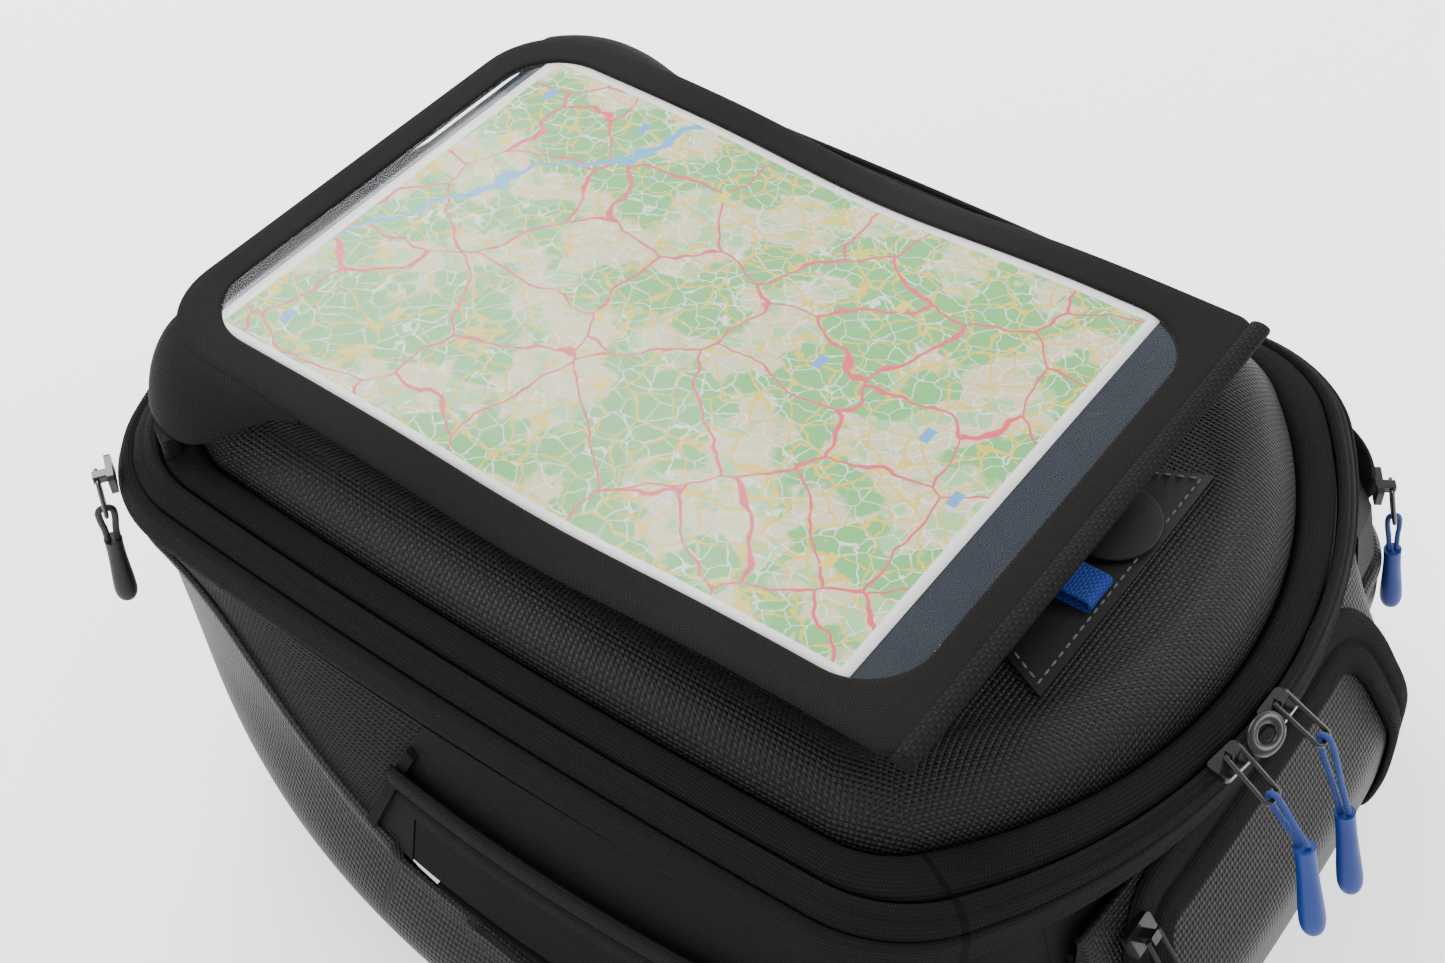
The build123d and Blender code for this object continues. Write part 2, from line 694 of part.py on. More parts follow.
def zip_slider(plane):
    """A slider's plate and neck, with the hole that the pull's wire turns in."""
    with BuildPart() as slider:
        with BuildSketch(plane):
            RectangleRounded(SLIDER_LENGTH, SLIDER_WIDTH, 2)
        extrude(amount=SLIDER_PLATE)
        with BuildSketch(plane):
            RectangleRounded(NECK_LENGTH, NECK_WIDTH, 0.6)
        extrude(amount=NECK_HEIGHT)
        hole_plane = Plane(origin=plane.from_local_coords(Vector(0, 0, PIVOT_HEIGHT)), z_dir=plane.x_dir)
        with BuildSketch(hole_plane):
            Circle(BAIL_R + PIVOT_CLEARANCE)
        extrude(amount=NECK_LENGTH, both=True, mode=Mode.SUBTRACT)
    return slider


def pull_plane(slider_plane, start, drop):
    """A plane for part of a pull: X runs down the pull, Y across it; drop turns it towards the surface."""
    origin = slider_plane.from_local_coords(Vector(0, start[0], start[1]))
    tip = slider_plane.from_local_coords(
        Vector(0, start[0] - cos(radians(drop)), start[1] - sin(radians(drop)))
    )
    along = tip - origin
    return Plane(origin=origin, x_dir=along, z_dir=along.cross(slider_plane.x_dir))


def wire_bail(plane):
    """A flat wire loop that starts at the plane's origin and runs along its X."""
    half = BAIL_WIDTH / 2
    with BuildPart() as bail:
        with BuildLine(plane) as loop_path:
            Line((0, -half), (0, half))
            far_corners = ((BAIL_LENGTH, half), (BAIL_LENGTH, -half))
            loop_bend = FilletPolyline((0, half), *far_corners, (0, -half), radius=1.8)
        with BuildSketch(Plane(origin=plane.origin, z_dir=plane.y_dir)):
            Circle(BAIL_R)
        sweep(path=loop_path.wire(), transition=Transition.RIGHT)
    return bail


def cord_corner_radii(points):
    """0.45 of the shorter run over the tangent of half the turn, for each corner."""
    radii = []
    for before, corner, after in zip(points, points[1:], points[2:]):
        run_in = corner - before
        run_out = after - corner
        half_turn = radians(run_in.get_angle(run_out)) / 2
        radii.append(0.45 * min(run_in.length, run_out.length) / tan(half_turn))
    return radii


def pull_cord(name, plane, reach, cord_r):
    """A cord folded round the bail's end, with both ends at the grip; it runs along the plane's X."""
    fold = 2.2 * cord_r
    half_shape = ((reach, 0.64), (reach * 0.6, 0.66), (reach * 0.25, 1.0), (-BAIL_R - 1.3 * cord_r, 0.98))
    local = [(x, -fold * share) for x, share in half_shape]
    local += [(x, fold * share) for x, share in reversed(half_shape)]
    points = [plane.from_local_coords(Vector(x, y, 0)) for x, y in local]
    radii = cord_corner_radii(points)
    with BuildPart() as cord:
        with BuildLine() as route:
            FilletPolyline(*points, radius=radii)
        path = route.wire()
        with BuildSketch(Plane(origin=path @ 0, z_dir=path % 0)):
            Circle(cord_r)
        sweep(path=path)
    expected = pi * cord_r ** 2 * path.length
    share = cord.part.volume / expected
    print(f"{name}: length {path.length:.2f} mm, volume over section x length {share:.4f}")
    print(f"{name}: corner radii {[round(radius, 2) for radius in radii]}")
    print(f"{name}: route", [tuple(round(value / 1000, 5) for value in tuple(point)) for point in points])
    return cord


def pull_grip(plane, length, neck_r, tip_r):
    """A moulded grip with a swollen tip, along the plane's X."""
    with BuildPart() as grip:
        with BuildSketch(plane):
            with BuildLine():
                top = Line((0, 0), (0, neck_r))
                neck_end = (length * 0.3, neck_r * 0.85)
                waist = Bezier(top @ 1, neck_end, (length * 0.6, tip_r), (length * 0.8, tip_r))
                tip = Bezier(waist @ 1, (length * 0.95, tip_r), (length, tip_r * 0.6), (length, 0))
                Line(tip @ 1, (0, 0))
            make_face()
        revolve(axis=Axis(plane.origin, plane.x_dir))
    return grip


def make_pull(place, slider_plane, bail_drop, reach, cord_drop, grip_drop, grip_length, cord_r=CORD_R):
    """One slider with its wire bail, folded cord and grip, each kept under its own name."""
    keep(zip_slider(slider_plane), f"{place}_slider")
    bail_plane = pull_plane(slider_plane, (0, PIVOT_HEIGHT), bail_drop)
    keep(wire_bail(bail_plane), f"{place}_bail")
    bail_end = (
        -BAIL_LENGTH * cos(radians(bail_drop)),
        PIVOT_HEIGHT - BAIL_LENGTH * sin(radians(bail_drop)),
    )
    flat_plane = pull_plane(slider_plane, bail_end, cord_drop)
    cord_plane = Plane(origin=flat_plane.origin, x_dir=flat_plane.x_dir, z_dir=slider_plane.x_dir)
    cord_end = (bail_end[0] - reach * cos(radians(cord_drop)), bail_end[1] - reach * sin(radians(cord_drop)))
    keep(pull_cord(f"{place}_cord", cord_plane, reach, cord_r), f"{place}_cord")
    grip_plane = pull_plane(slider_plane, cord_end, grip_drop)
    keep(pull_grip(grip_plane, grip_length, 3.7, GRIP_R), f"{place}_grip")
    pivot = bail_plane.origin
    print(f"{place}: pivot {tuple(pivot)} axis {tuple(slider_plane.x_dir)}")


def main_zip_plane(x):
    """The plane of a slider on the body side of the main zip's rear stretch."""
    centre = rear_arc_point(x, 0.5 + SLIDER_WIDTH / 2, ZIP_Z)
    turn = rear_arc_point(x, 0, 0) - rear_arc_point(x, 10, 0)
    return Plane(origin=centre, x_dir=turn.cross(Vector(0, 0, 1)), z_dir=(0, 0, 1))


make_pull("main_left", main_zip_plane(-36.0), 25, 19.0, 40, 73, 41)
make_pull("main_right", main_zip_plane(-8.0), 25, 33.0, 66, 75, 41)

corner = corner_arc(ring_outline(GUSSET_TOP, GUSSET_OUTER + SEAM), -1, 1)
expansion_point = corner @ 0.5
expansion_outward = (expansion_point - corner.arc_center).normalized()
expansion_height = (GUSSET_TOP + band_bottom) / 2
expansion_plane = Plane(
    origin=Vector(expansion_point.X, expansion_point.Y, expansion_height) + expansion_outward * SLIDER_LIFT,
    x_dir=Vector(0, 0, 1).cross(expansion_outward),
    z_dir=expansion_outward,
)
print("expansion corner centre", corner.arc_center)
make_pull("expansion", expansion_plane, -4, 15.0, -4, -4, 36, 1.4)

for side, place in ((-1, "side_left"), (1, "side_right")):
    # the side zip ends on the rounded rear corner
    corner = corner_arc(station_outline(130.0, 1.8), side, -1)
    outward = Vector(side * cos(radians(58)), -sin(radians(58)), 0)
    point = corner.arc_center + outward * (corner.radius + SLIDER_LIFT + 0.6)
    height = DOOR_TOP + 1.4 + SIDE_ZIP_HEIGHT / 2
    side_plane = Plane(
        origin=Vector(point.X, point.Y, height),
        x_dir=Vector(0, 0, 1).cross(outward),
        z_dir=outward,
    )
    print(place, "corner centre", corner.arc_center, "radius", corner.radius)
    make_pull(place, side_plane, -14, 19.0, -10, -10, 36)

slope_start = Vector(0, -200, POCKET_TOP)
slope_end = Vector(0, -238, 95)
slope = (slope_end - slope_start).normalized()
slope_normal = slope.cross(Vector(1, 0, 0))
pocket_slider_point = slope_start + slope * 13 + slope_normal * SLIDER_LIFT + Vector(-84, 0, 0)
pocket_plane = Plane(origin=pocket_slider_point, x_dir=(1, 0, 0), z_dir=slope_normal)
keep(zip_slider(pocket_plane), "pocket_slider")
tab_plane = pull_plane(pocket_plane, (0, PIVOT_HEIGHT), 0)
with BuildPart() as pocket_pull:
    add(wire_bail(tab_plane).part)
    with BuildSketch(tab_plane.offset(-1.2)):
        with Locations((BAIL_LENGTH + 11, 0)):
            RectangleRounded(26, 9, 4)
    extrude(amount=2.4)
keep(pocket_pull, "pocket_pull")
print("pocket pivot", tuple(tab_plane.origin))
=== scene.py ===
import bpy
import json
import math
import numpy as np
from mathutils import Matrix, Vector


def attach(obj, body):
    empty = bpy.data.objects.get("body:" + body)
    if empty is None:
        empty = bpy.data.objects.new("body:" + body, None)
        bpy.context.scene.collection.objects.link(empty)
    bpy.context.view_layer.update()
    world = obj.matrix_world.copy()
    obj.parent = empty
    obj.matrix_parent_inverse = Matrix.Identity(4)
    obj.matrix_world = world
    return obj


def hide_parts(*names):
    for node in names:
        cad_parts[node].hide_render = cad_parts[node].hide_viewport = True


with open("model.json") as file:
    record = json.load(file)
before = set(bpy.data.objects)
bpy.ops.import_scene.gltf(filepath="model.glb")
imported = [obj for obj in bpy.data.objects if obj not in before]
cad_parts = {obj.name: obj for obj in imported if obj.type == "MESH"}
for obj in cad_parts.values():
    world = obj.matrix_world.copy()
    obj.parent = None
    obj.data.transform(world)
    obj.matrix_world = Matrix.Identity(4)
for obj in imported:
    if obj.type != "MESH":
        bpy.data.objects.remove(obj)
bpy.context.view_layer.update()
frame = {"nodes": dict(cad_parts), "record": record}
MM = 0.001

# ---------------------------------------------------------------- driving sizes, in millimetres
# the main zip's outline
RING = dict(front_half=150, rear_half=150, front=238, rear=-208,
            corner=50, side_bow=5, front_bow=45, rear_bow=60)
# the body's outline at each height: front half, rear half, front, rear, corner, side bow, front bow, rear bow
STATIONS = {
    3.0: (128, 150, 222, -196, 34, 30, 30, 6),
    38.0: (136, 162, 232, -200, 36, 38, 32, 8),
    72.0: (142, 176, 240, -202, 38, 48, 36, 8),
    100.0: (145, 172, 243, -199, 38, 34, 38, 10),
    130.0: (148, 168, 246, -197, 40, 26, 40, 16),
    162.5: (163, 163, 250, -205, 58, 8, 45, 54),
}
# the tub: its foot, and its rim's height at distances along the bag
TUB_FOOT = 38.8
RIM_SHAPE = ((-300, 90), (-120, 92), (0, 97), (90, 112), (170, 142), (300, 168))
# each step of the tub's rolled lip: how far above the rim, and how far out
LIP_STEPS = ((-4, 2.2), (-2, 3.0), (0.4, 3.0), (2.2, 2.0), (3.0, 0.4), (2.6, -1.4), (1.0, -2.6))
# each step of the skirt below the tub: height, and how far out
SKIRT_STEPS = ((3.2, -2), (5, -0.6), (10, 0), (17, 0), (24, 0), (31, 0), (36, -0.6), (38.2, -1.5))
# the lid: its flat top, and its rolled edge as outset from the zip and height
LID_FLAT_EDGE = -44.0
LID_TOP = 200.8
LID_EDGE = ((-13.4, 177), (-13.4, 182), (-13.6, 187), (-14.6, 191), (-17, 195.2), (-20.5, 198.7),
            (-25, 201.4), (-29.5, 202.8), (-34, 203.0), (-38, 202.2), (-41, 201.3), (LID_FLAT_EDGE, LID_TOP))
# the map holder, its window and the sheet in it
MAP_HALF = 122.0
MAP_FRONT = 216.0
MAP_REAR = -134.0
FRAME_CORNER = 38.0
WINDOW_CORNER = 27.0
WINDOW_HALF = 105.0
WINDOW_FRONT = 202.0
WINDOW_REAR = -120.0
SHEET_HALF = 105.0
SHEET_REAR = -103.0
SHEET_FRONT = 194.0
SHEET_MARGIN = 4.5
BACKING_TOP = 220.2
SHEET_TOP = 220.65
FILM_TOP = 221.45
# the pockets
POCKET_HALF = 105.0
POCKET_CORNER_POWER = 9
DOOR = dict(rear=-160, front=30, bottom=102)
DOOR_GAP = 4.0
DOOR_MARGIN = 8.0
SIDE_ZIP_Z = 131.4
SIDE_ZIP_FRONT = 42.0
TAPE_HALF = 12.5
PIPING_LINE = 97.0
# walls' thicknesses
LID_WALL = 3.0
TUB_WALL = 4.0
SKIRT_WALL = 3.0
POCKET_WALL = 3.5
WING_WALL = 1.2

# ---------------------------------------------------------------- camera, fitted to the map sheet and the zip
HEADING = math.radians(51.02)
TILT = math.radians(47.14)
ROLL = math.radians(-2.79)
EYE = Vector((-437.4, -325.4, 747.4)) * MM
LENS = 50.89
SENSOR_WIDTH = 36


def add_camera():
    """The camera, from its heading, its tilt down and its roll."""
    look = Vector((math.sin(HEADING) * math.cos(TILT), math.cos(HEADING) * math.cos(TILT), -math.sin(TILT)))
    right = Vector((math.cos(HEADING), -math.sin(HEADING), 0))
    up = right.cross(look)
    rolled_right = math.cos(ROLL) * right + math.sin(ROLL) * up
    rolled_up = math.cos(ROLL) * up - math.sin(ROLL) * right
    camera = bpy.data.objects.new("camera", bpy.data.cameras.new("camera"))
    turn = Matrix((rolled_right, rolled_up, -look)).transposed()
    camera.matrix_world = Matrix.Translation(EYE) @ turn.to_4x4()
    camera.data.lens = LENS
    camera.data.sensor_width = SENSOR_WIDTH
    camera.data.clip_end = 20
    bpy.context.scene.collection.objects.link(camera)
    bpy.context.scene.camera = camera


add_camera()


# ---------------------------------------------------------------- materials
class Shade:
    """A principled material and short ways to add nodes to it."""

    def __init__(self, name, colour, rough=0.6, metallic=0.0):
        self.material = bpy.data.materials.new(name)
        self.material.use_nodes = True
        self.tree = self.material.node_tree
        self.shader = self.tree.nodes["Principled BSDF"]
        self.shader.inputs["Base Color"].default_value = (*colour, 1)
        self.shader.inputs["Roughness"].default_value = rough
        self.shader.inputs["Metallic"].default_value = metallic

    def node(self, kind, **values):
        made = self.tree.nodes.new(kind)
        for key, value in values.items():
            setattr(made, key, value)
        return made

    def link(self, source, target):
        self.tree.links.new(source, target)

    def put(self, socket, value):
        if isinstance(value, (int, float, tuple)):
            socket.default_value = value
        else:
            self.link(value, socket)

    def math(self, operation, a, b=0.0, c=0.0):
        made = self.node("ShaderNodeMath", operation=operation)
        for socket, value in zip(made.inputs, (a, b, c)):
            self.put(socket, value)
        return made.outputs[0]

    def mix(self, share, a, b):
        made = self.node("ShaderNodeMix", data_type="RGBA")
        self.put(made.inputs[0], share)
        self.put(made.inputs[6], a)
        self.put(made.inputs[7], b)
        return made.outputs[2]

    def coordinates(self, surface=True):
        """Millimetres over the cloth for pieces made here, or in space for CAD pieces."""
        source = self.node("ShaderNodeTexCoord").outputs["UV" if surface else "Object"]
        scale = self.node("ShaderNodeVectorMath", operation="SCALE")
        self.link(source, scale.inputs[0])
        scale.inputs["Scale"].default_value = 1000.0
        split = self.node("ShaderNodeSeparateXYZ")
        self.link(scale.outputs[0], split.inputs[0])
        return scale.outputs[0], split.outputs

    def noise(self, vector, scale, detail=2.0):
        made = self.node("ShaderNodeTexNoise")
        self.link(vector, made.inputs["Vector"])
        made.inputs["Scale"].default_value = scale
        made.inputs["Detail"].default_value = detail
        return made.outputs["Fac"]

    def wave(self, value, pitch):
        return self.math("SINE", self.math("MULTIPLY", value, math.pi / pitch))

    def bump(self, height, distance, strength=1.0):
        made = self.node("ShaderNodeBump")
        self.link(height, made.inputs["Height"])
        made.inputs["Distance"].default_value = distance
        made.inputs["Strength"].default_value = strength
        self.link(made.outputs[0], self.shader.inputs["Normal"])

    def smooth_step(self, value, low, high):
        made = self.node("ShaderNodeMapRange", interpolation_type="SMOOTHSTEP")
        self.put(made.inputs["Value"], value)
        made.inputs["From Min"].default_value = low
        made.inputs["From Max"].default_value = high
        return made.outputs[0]

    def two_tone(self, share, colour, low, high):
        """Colour the material between a darker and a lighter tone of one colour."""
        dark = tuple(part * low for part in colour)
        light = tuple(part * high for part in colour)
        self.link(self.mix(share, (*dark, 1), (*light, 1)), self.shader.inputs["Base Color"])


def woven(name, colour, pitch, depth, rough, sheen=0.0, surface=True, lift=1.5, gloss=0.12):
    """Over-and-under weave: one small bump a crossing, with a painted highlight that lightens the crest of
    every other crossing.
    """
    shade = Shade(name, colour, rough)
    vector, (u, v, w) = shade.coordinates(surface)
    if not surface:
        u = shade.math("ADD", u, shade.math("MULTIPLY", w, 0.5))
        v = shade.math("ADD", v, w)
    cross = shade.math("MULTIPLY", shade.wave(u, pitch), shade.wave(v, pitch))
    bumps = shade.math("POWER", shade.math("ABSOLUTE", cross), 0.6)
    fuzz = shade.noise(vector, 0.9, 3.0)
    height = shade.math("ADD", bumps, shade.math("MULTIPLY", fuzz, 0.35))
    shade.bump(height, depth * MM)
    # painted highlight: the crest of every other crossing is coloured lighter, towards the lift tone,
    # standing in for light on the weave
    painted_crest_highlight = shade.math("MULTIPLY", shade.smooth_step(cross, -0.3, 0.9), bumps)
    wear = shade.math("MULTIPLY", shade.noise(vector, 0.012, 3.0), 0.5)
    share = shade.math("ADD", shade.math("MULTIPLY", painted_crest_highlight, 0.75), wear)
    shade.two_tone(share, colour, 0.55, lift)
    shade.shader.inputs["Sheen Weight"].default_value = sheen
    shade.shader.inputs["Sheen Roughness"].default_value = 0.5
    shade.shader.inputs["Specular IOR Level"].default_value = gloss
    return shade.material


def knitted(name, colour, pitch, depth, rough=0.9, surface=True):
    """Brushed knit: loops in slanted rows under a soft fuzz."""
    shade = Shade(name, colour, rough)
    vector, (u, v, _) = shade.coordinates(surface)
    row = shade.wave(v, pitch)
    loop = shade.wave(shade.math("ADD", u, shade.math("MULTIPLY", v, 0.6)), pitch * 0.8)
    weave = shade.math("ABSOLUTE", shade.math("MULTIPLY", row, loop))
    fuzz = shade.noise(vector, 1.6, 4.0)
    height = shade.math("ADD", weave, shade.math("MULTIPLY", fuzz, 0.8))
    shade.bump(height, depth * MM)
    # partly painted shade: the grooves between loops are coloured darker and the loops' crests lighter; the
    # fuzz adds random fibre tone
    shade.two_tone(shade.math("MULTIPLY", height, 0.6), colour, 0.5, 1.5)
    shade.shader.inputs["Specular IOR Level"].default_value = 0.08
    return shade.material


def meshed(name, colour, pitch):
    """A side panel: spacer mesh at its front, its holes painted dark as painted shade, and brushed knit
    behind the piping.
    """
    shade = Shade(name, colour, 0.8)
    vector, (_, u, v) = shade.coordinates(False)
    cells = shade.node("ShaderNodeTexVoronoi", feature="F1")
    cells.inputs["Scale"].default_value = 1.0 / pitch
    cells.inputs["Randomness"].default_value = 0.12
    row = shade.math("FLOOR", shade.math("DIVIDE", v, pitch))
    shifted = shade.math("ADD", u, shade.math("MULTIPLY", shade.math("MODULO", row, 2.0), pitch * 0.5))
    join = shade.node("ShaderNodeCombineXYZ")
    shade.link(shifted, join.inputs[0])
    shade.link(v, join.inputs[1])
    shade.link(join.outputs[0], cells.inputs["Vector"])
    holes = shade.smooth_step(cells.outputs["Distance"], 0.22, 0.5)
    slant = shade.math("ADD", u, shade.math("MULTIPLY", v, 0.4))
    mesh_here = shade.math("GREATER_THAN", slant, PIPING_LINE)
    knit = shade.noise(vector, 1.6, 4.0)
    height = shade.mix(mesh_here, knit, holes)
    shade.bump(height, 0.5 * MM)
    # painted shade: the mesh's holes are coloured dark and its ridges light, standing in for shade in the
    # holes; behind the piping the knit noise gives random fibre tone
    shade.two_tone(height, colour, 0.25, 1.5)
    shade.shader.inputs["Specular IOR Level"].default_value = 0.08
    return shade.material


def plain(name, colour, rough, metallic=0.0, grain=0.15, coat=0.0):
    """Rubber, plastic or metal with a faint grain and slightly uneven gloss."""
    shade = Shade(name, colour, rough, metallic)
    vector, _ = shade.coordinates(False)
    shade.bump(shade.noise(vector, 1.3, 4.0), grain * MM)
    spread = shade.math("MULTIPLY", shade.noise(vector, 0.08, 3.0), 0.25)
    shade.link(shade.math("ADD", spread, rough - 0.12), shade.shader.inputs["Roughness"])
    shade.shader.inputs["Coat Weight"].default_value = coat
    shade.shader.inputs["Specular IOR Level"].default_value = 0.25
    return shade.material


def braided(name, colour):
    """A braided cord: two crossing sets of slanted strands."""
    shade = Shade(name, colour, 0.6)
    _, (u, v, w) = shade.coordinates(False)
    first = shade.wave(shade.math("ADD", u, w), 0.8)
    second = shade.wave(shade.math("SUBTRACT", v, w), 0.8)
    height = shade.math("ABSOLUTE", shade.math("MULTIPLY", first, second))
    shade.bump(height, 0.25 * MM)
    # painted shade: the grooves between strands are coloured darker and the strands' crests lighter
    shade.two_tone(height, colour, 0.55, 1.5)
    return shade.material


# the map's colours, and its kinds of road from the least to the greatest
GROUND = (0.76, 0.71, 0.42, 1)
WOODS = (0.17, 0.56, 0.15, 1)
PALE_WOODS = (0.37, 0.71, 0.30, 1)
WATER = (0.09, 0.44, 0.82, 1)
MARGIN = (0.93, 0.93, 0.92, 1)
ROADS = (
    dict(spacing=9, half_width=0.22, strength=5, shift=40, ink=0.8, paint=(0.97, 0.97, 0.93, 1)),
    dict(spacing=16, half_width=0.40, strength=12, shift=0, ink=0.95, paint=(0.90, 0.64, 0.04, 1)),
    dict(spacing=50, half_width=0.5, strength=26, shift=15, ink=1.0, paint=(0.86, 0.08, 0.12, 1)),
)
RIVER_LINE = 205.0
SHIELDS = 12
SHIELD_HALF = (3.6, 2.0)
SHIELD_PAINTS = ((0.93, 0.72, 0.08, 1), (0.10, 0.38, 0.80, 1))


def map_paper():
    """A road map with no words: woods, three kinds of road, a river, blank shields and a paper margin."""
    shade = Shade("map_paper", (0.85, 0.88, 0.75), 0.45)
    vector, (u, v, _) = shade.coordinates(True)

    def warped(strength, scale):
        """The place on the paper, pushed about by noise."""
        offset = shade.node("ShaderNodeTexNoise")
        shade.link(vector, offset.inputs["Vector"])
        offset.inputs["Scale"].default_value = scale
        offset.inputs["Detail"].default_value = 3.0
        centred = shade.node("ShaderNodeVectorMath", operation="SUBTRACT")
        shade.link(offset.outputs["Color"], centred.inputs[0])
        centred.inputs[1].default_value = (0.5, 0.5, 0.5)
        grown = shade.node("ShaderNodeVectorMath", operation="SCALE")
        shade.link(centred.outputs[0], grown.inputs[0])
        grown.inputs["Scale"].default_value = strength
        total = shade.node("ShaderNodeVectorMath", operation="ADD")
        shade.link(vector, total.inputs[0])
        shade.link(grown.outputs[0], total.inputs[1])
        return total.outputs[0]

    def road_net(spacing, half_width, strength, shift):
        """Lines along the borders of warped cells."""
        moved = shade.node("ShaderNodeVectorMath", operation="ADD")
        shade.link(warped(strength, 1.2 / spacing), moved.inputs[0])
        moved.inputs[1].default_value = (shift, shift * 0.7, 0)
        cells = shade.node("ShaderNodeTexVoronoi", feature="DISTANCE_TO_EDGE")
        cells.inputs["Scale"].default_value = 1.0 / spacing
        shade.link(moved.outputs[0], cells.inputs["Vector"])
        edge = half_width / spacing
        beyond = shade.smooth_step(cells.outputs["Distance"], edge * 0.7, edge * 1.3)
        return shade.math("SUBTRACT", 1.0, beyond)

    def within(value, middle, half):
        away = shade.math("ABSOLUTE", shade.math("SUBTRACT", value, middle))
        return shade.math("LESS_THAN", away, half)

    big = shade.smooth_step(shade.noise(warped(20, 0.05), 0.022, 4.0), 0.475, 0.505)
    small = shade.smooth_step(shade.noise(warped(8, 0.15), 0.07, 4.0), 0.53, 0.56)
    colour = shade.mix(small, GROUND, PALE_WOODS)
    colour = shade.mix(big, colour, WOODS)
    for road in ROADS:
        net = road_net(road["spacing"], road["half_width"], road["strength"], road["shift"])
        colour = shade.mix(shade.math("MULTIPLY", net, road["ink"]), colour, road["paint"])
    # the river wanders across the far corner
    wander = shade.math("MULTIPLY", shade.noise(vector, 0.02, 3.0), 70.0)
    line = shade.math("ADD", shade.math("MULTIPLY", u, 0.62), shade.math("ADD", v, wander))
    river = shade.math("ABSOLUTE", shade.math("SUBTRACT", line, RIVER_LINE))
    water = shade.math("SUBTRACT", 1.0, shade.smooth_step(river, 1.2, 1.9))
    colour = shade.mix(water, colour, WATER)
    # blank route shields, strewn over the paper
    for k in range(SHIELDS):
        at_u = 85 * math.sin(2.4 * k + 0.6)
        at_v = 45 + 135 * math.cos(1.7 * k + 0.3)
        on = shade.math("MULTIPLY", within(u, at_u, SHIELD_HALF[0]), within(v, at_v, SHIELD_HALF[1]))
        colour = shade.mix(on, colour, SHIELD_PAINTS[k % 2])
    # unprinted margin
    across = within(u, 0.0, SHEET_HALF - SHEET_MARGIN)
    along = within(v, (SHEET_REAR + SHEET_FRONT) / 2, (SHEET_FRONT - SHEET_REAR) / 2 - SHEET_MARGIN)
    colour = shade.mix(shade.math("MULTIPLY", across, along), MARGIN, colour)
    shade.link(colour, shade.shader.inputs["Base Color"])
    return shade.material


def clear_vinyl():
    """Thin clear film: see-through, with reflections of its own."""
    shade = Shade("clear_vinyl", (1, 1, 1), 0.06)
    vector, _ = shade.coordinates(True)
    shade.bump(shade.noise(vector, 0.03, 2.0), 2.0 * MM, 0.5)
    shade.shader.inputs["Alpha"].default_value = 0.09
    shade.shader.inputs["Specular IOR Level"].default_value = 0.5
    shade.shader.inputs["Base Color"].default_value = (0.03, 0.035, 0.04, 1)
    return shade.material


MATERIALS = {
    "base_rubber": plain("base_rubber", (0.02, 0.02, 0.02), 0.8, grain=0.3),
    "ring_plastic": plain("ring_plastic", (0.02, 0.02, 0.021), 0.45),
    "steel": plain("steel", (0.5, 0.5, 0.52), 0.35, metallic=1.0),
    "board": plain("board", (0.03, 0.03, 0.03), 0.7),
    "skirt_fabric": woven("skirt_fabric", (0.006, 0.006, 0.006), 1.0, 0.12, 0.6),
    "moulded_eva": woven("moulded_eva", (0.0062, 0.0062, 0.0066), 2.0, 0.60, 0.42, lift=2.4, gloss=0.17),
    "liner_fabric": woven("liner_fabric", (0.12, 0.12, 0.13), 0.8, 0.1, 0.8, surface=False),
    "mesh_fabric": meshed("mesh_fabric", (0.010, 0.009, 0.009), 2.3),
    "panel_fabric": knitted("panel_fabric", (0.007, 0.007, 0.0065), 0.9, 0.2, surface=False),
    "zip_tape": knitted("zip_tape", (0.009, 0.0085, 0.008), 1.5, 0.4, surface=False),
    "zip_teeth": plain("zip_teeth", (0.003, 0.003, 0.003), 0.5),
    "piping": knitted("piping", (0.006, 0.006, 0.006), 1.0, 0.1, surface=False),
    "black_webbing": woven("black_webbing", (0.005, 0.005, 0.005), 1.4, 0.3, 0.6, surface=False),
    "latch_metal": plain("latch_metal", (0.4, 0.4, 0.42), 0.35, metallic=1.0),
    "patch_rubber": plain("patch_rubber", (0.0035, 0.0035, 0.0035), 0.55, grain=0.12),
    "blue_webbing": woven("blue_webbing", (0.018, 0.045, 0.24), 1.2, 0.3, 0.6, surface=False),
    "holder_fabric": woven("holder_fabric", (0.008, 0.0075, 0.007), 0.85, 0.16, 0.75, surface=False,
                           lift=1.9, gloss=0.08),
    "binding": woven("binding", (0.010, 0.0095, 0.009), 1.7, 0.3, 0.75, gloss=0.08),
    "map_paper": map_paper(),
    "clear_vinyl": clear_vinyl(),
    "backing_film": plain("backing_film", (0.012, 0.017, 0.028), 0.22, grain=0.01, coat=0.3),
    "slider_metal": plain("slider_metal", (0.006, 0.006, 0.006), 0.3, grain=0.03, coat=0.35),
    "blue_cord": braided("blue_cord", (0.005, 0.034, 0.20)),
    "dark_cord": braided("dark_cord", (0.008, 0.007, 0.007)),
    "blue_grip": plain("blue_grip", (0.003, 0.026, 0.17), 0.45, grain=0.05),
    "black_grip": plain("black_grip", (0.004, 0.004, 0.004), 0.55),
}
# looks for the zip pieces made here, which follow the cloth rather than space
CLOTH = {
    "zip_tape": knitted("zip_tape_laid", (0.009, 0.0085, 0.008), 1.5, 0.45),
    "zip_teeth": woven("zip_teeth_laid", (0.003, 0.003, 0.003), 1.1, 0.4, 0.6),
}
SLOT_OF = {part["node"]: part["material_slot"] for part in frame["record"]["subparts"]}
for node, piece in frame["nodes"].items():
    piece.data.materials.clear()
    piece.data.materials.append(MATERIALS[SLOT_OF[node]])


# ---------------------------------------------------------------- outlines
ARC_POINTS = {"rear": 56, "side": 96, "front": 56, "corner": 18}
STRETCHES = ("rear", "side", "front", "side")


def bow_circle(start, end, bow):
    """The centre and radius of the shallow arc from start to end that bulges to its right by bow."""
    chord = end - start
    length = np.hypot(*chord)
    radius = (length ** 2 / 4 + bow ** 2) / (2 * bow)
    outward = np.array([chord[1], -chord[0]]) / length
    return (start + end) / 2 - outward * (radius - bow), radius


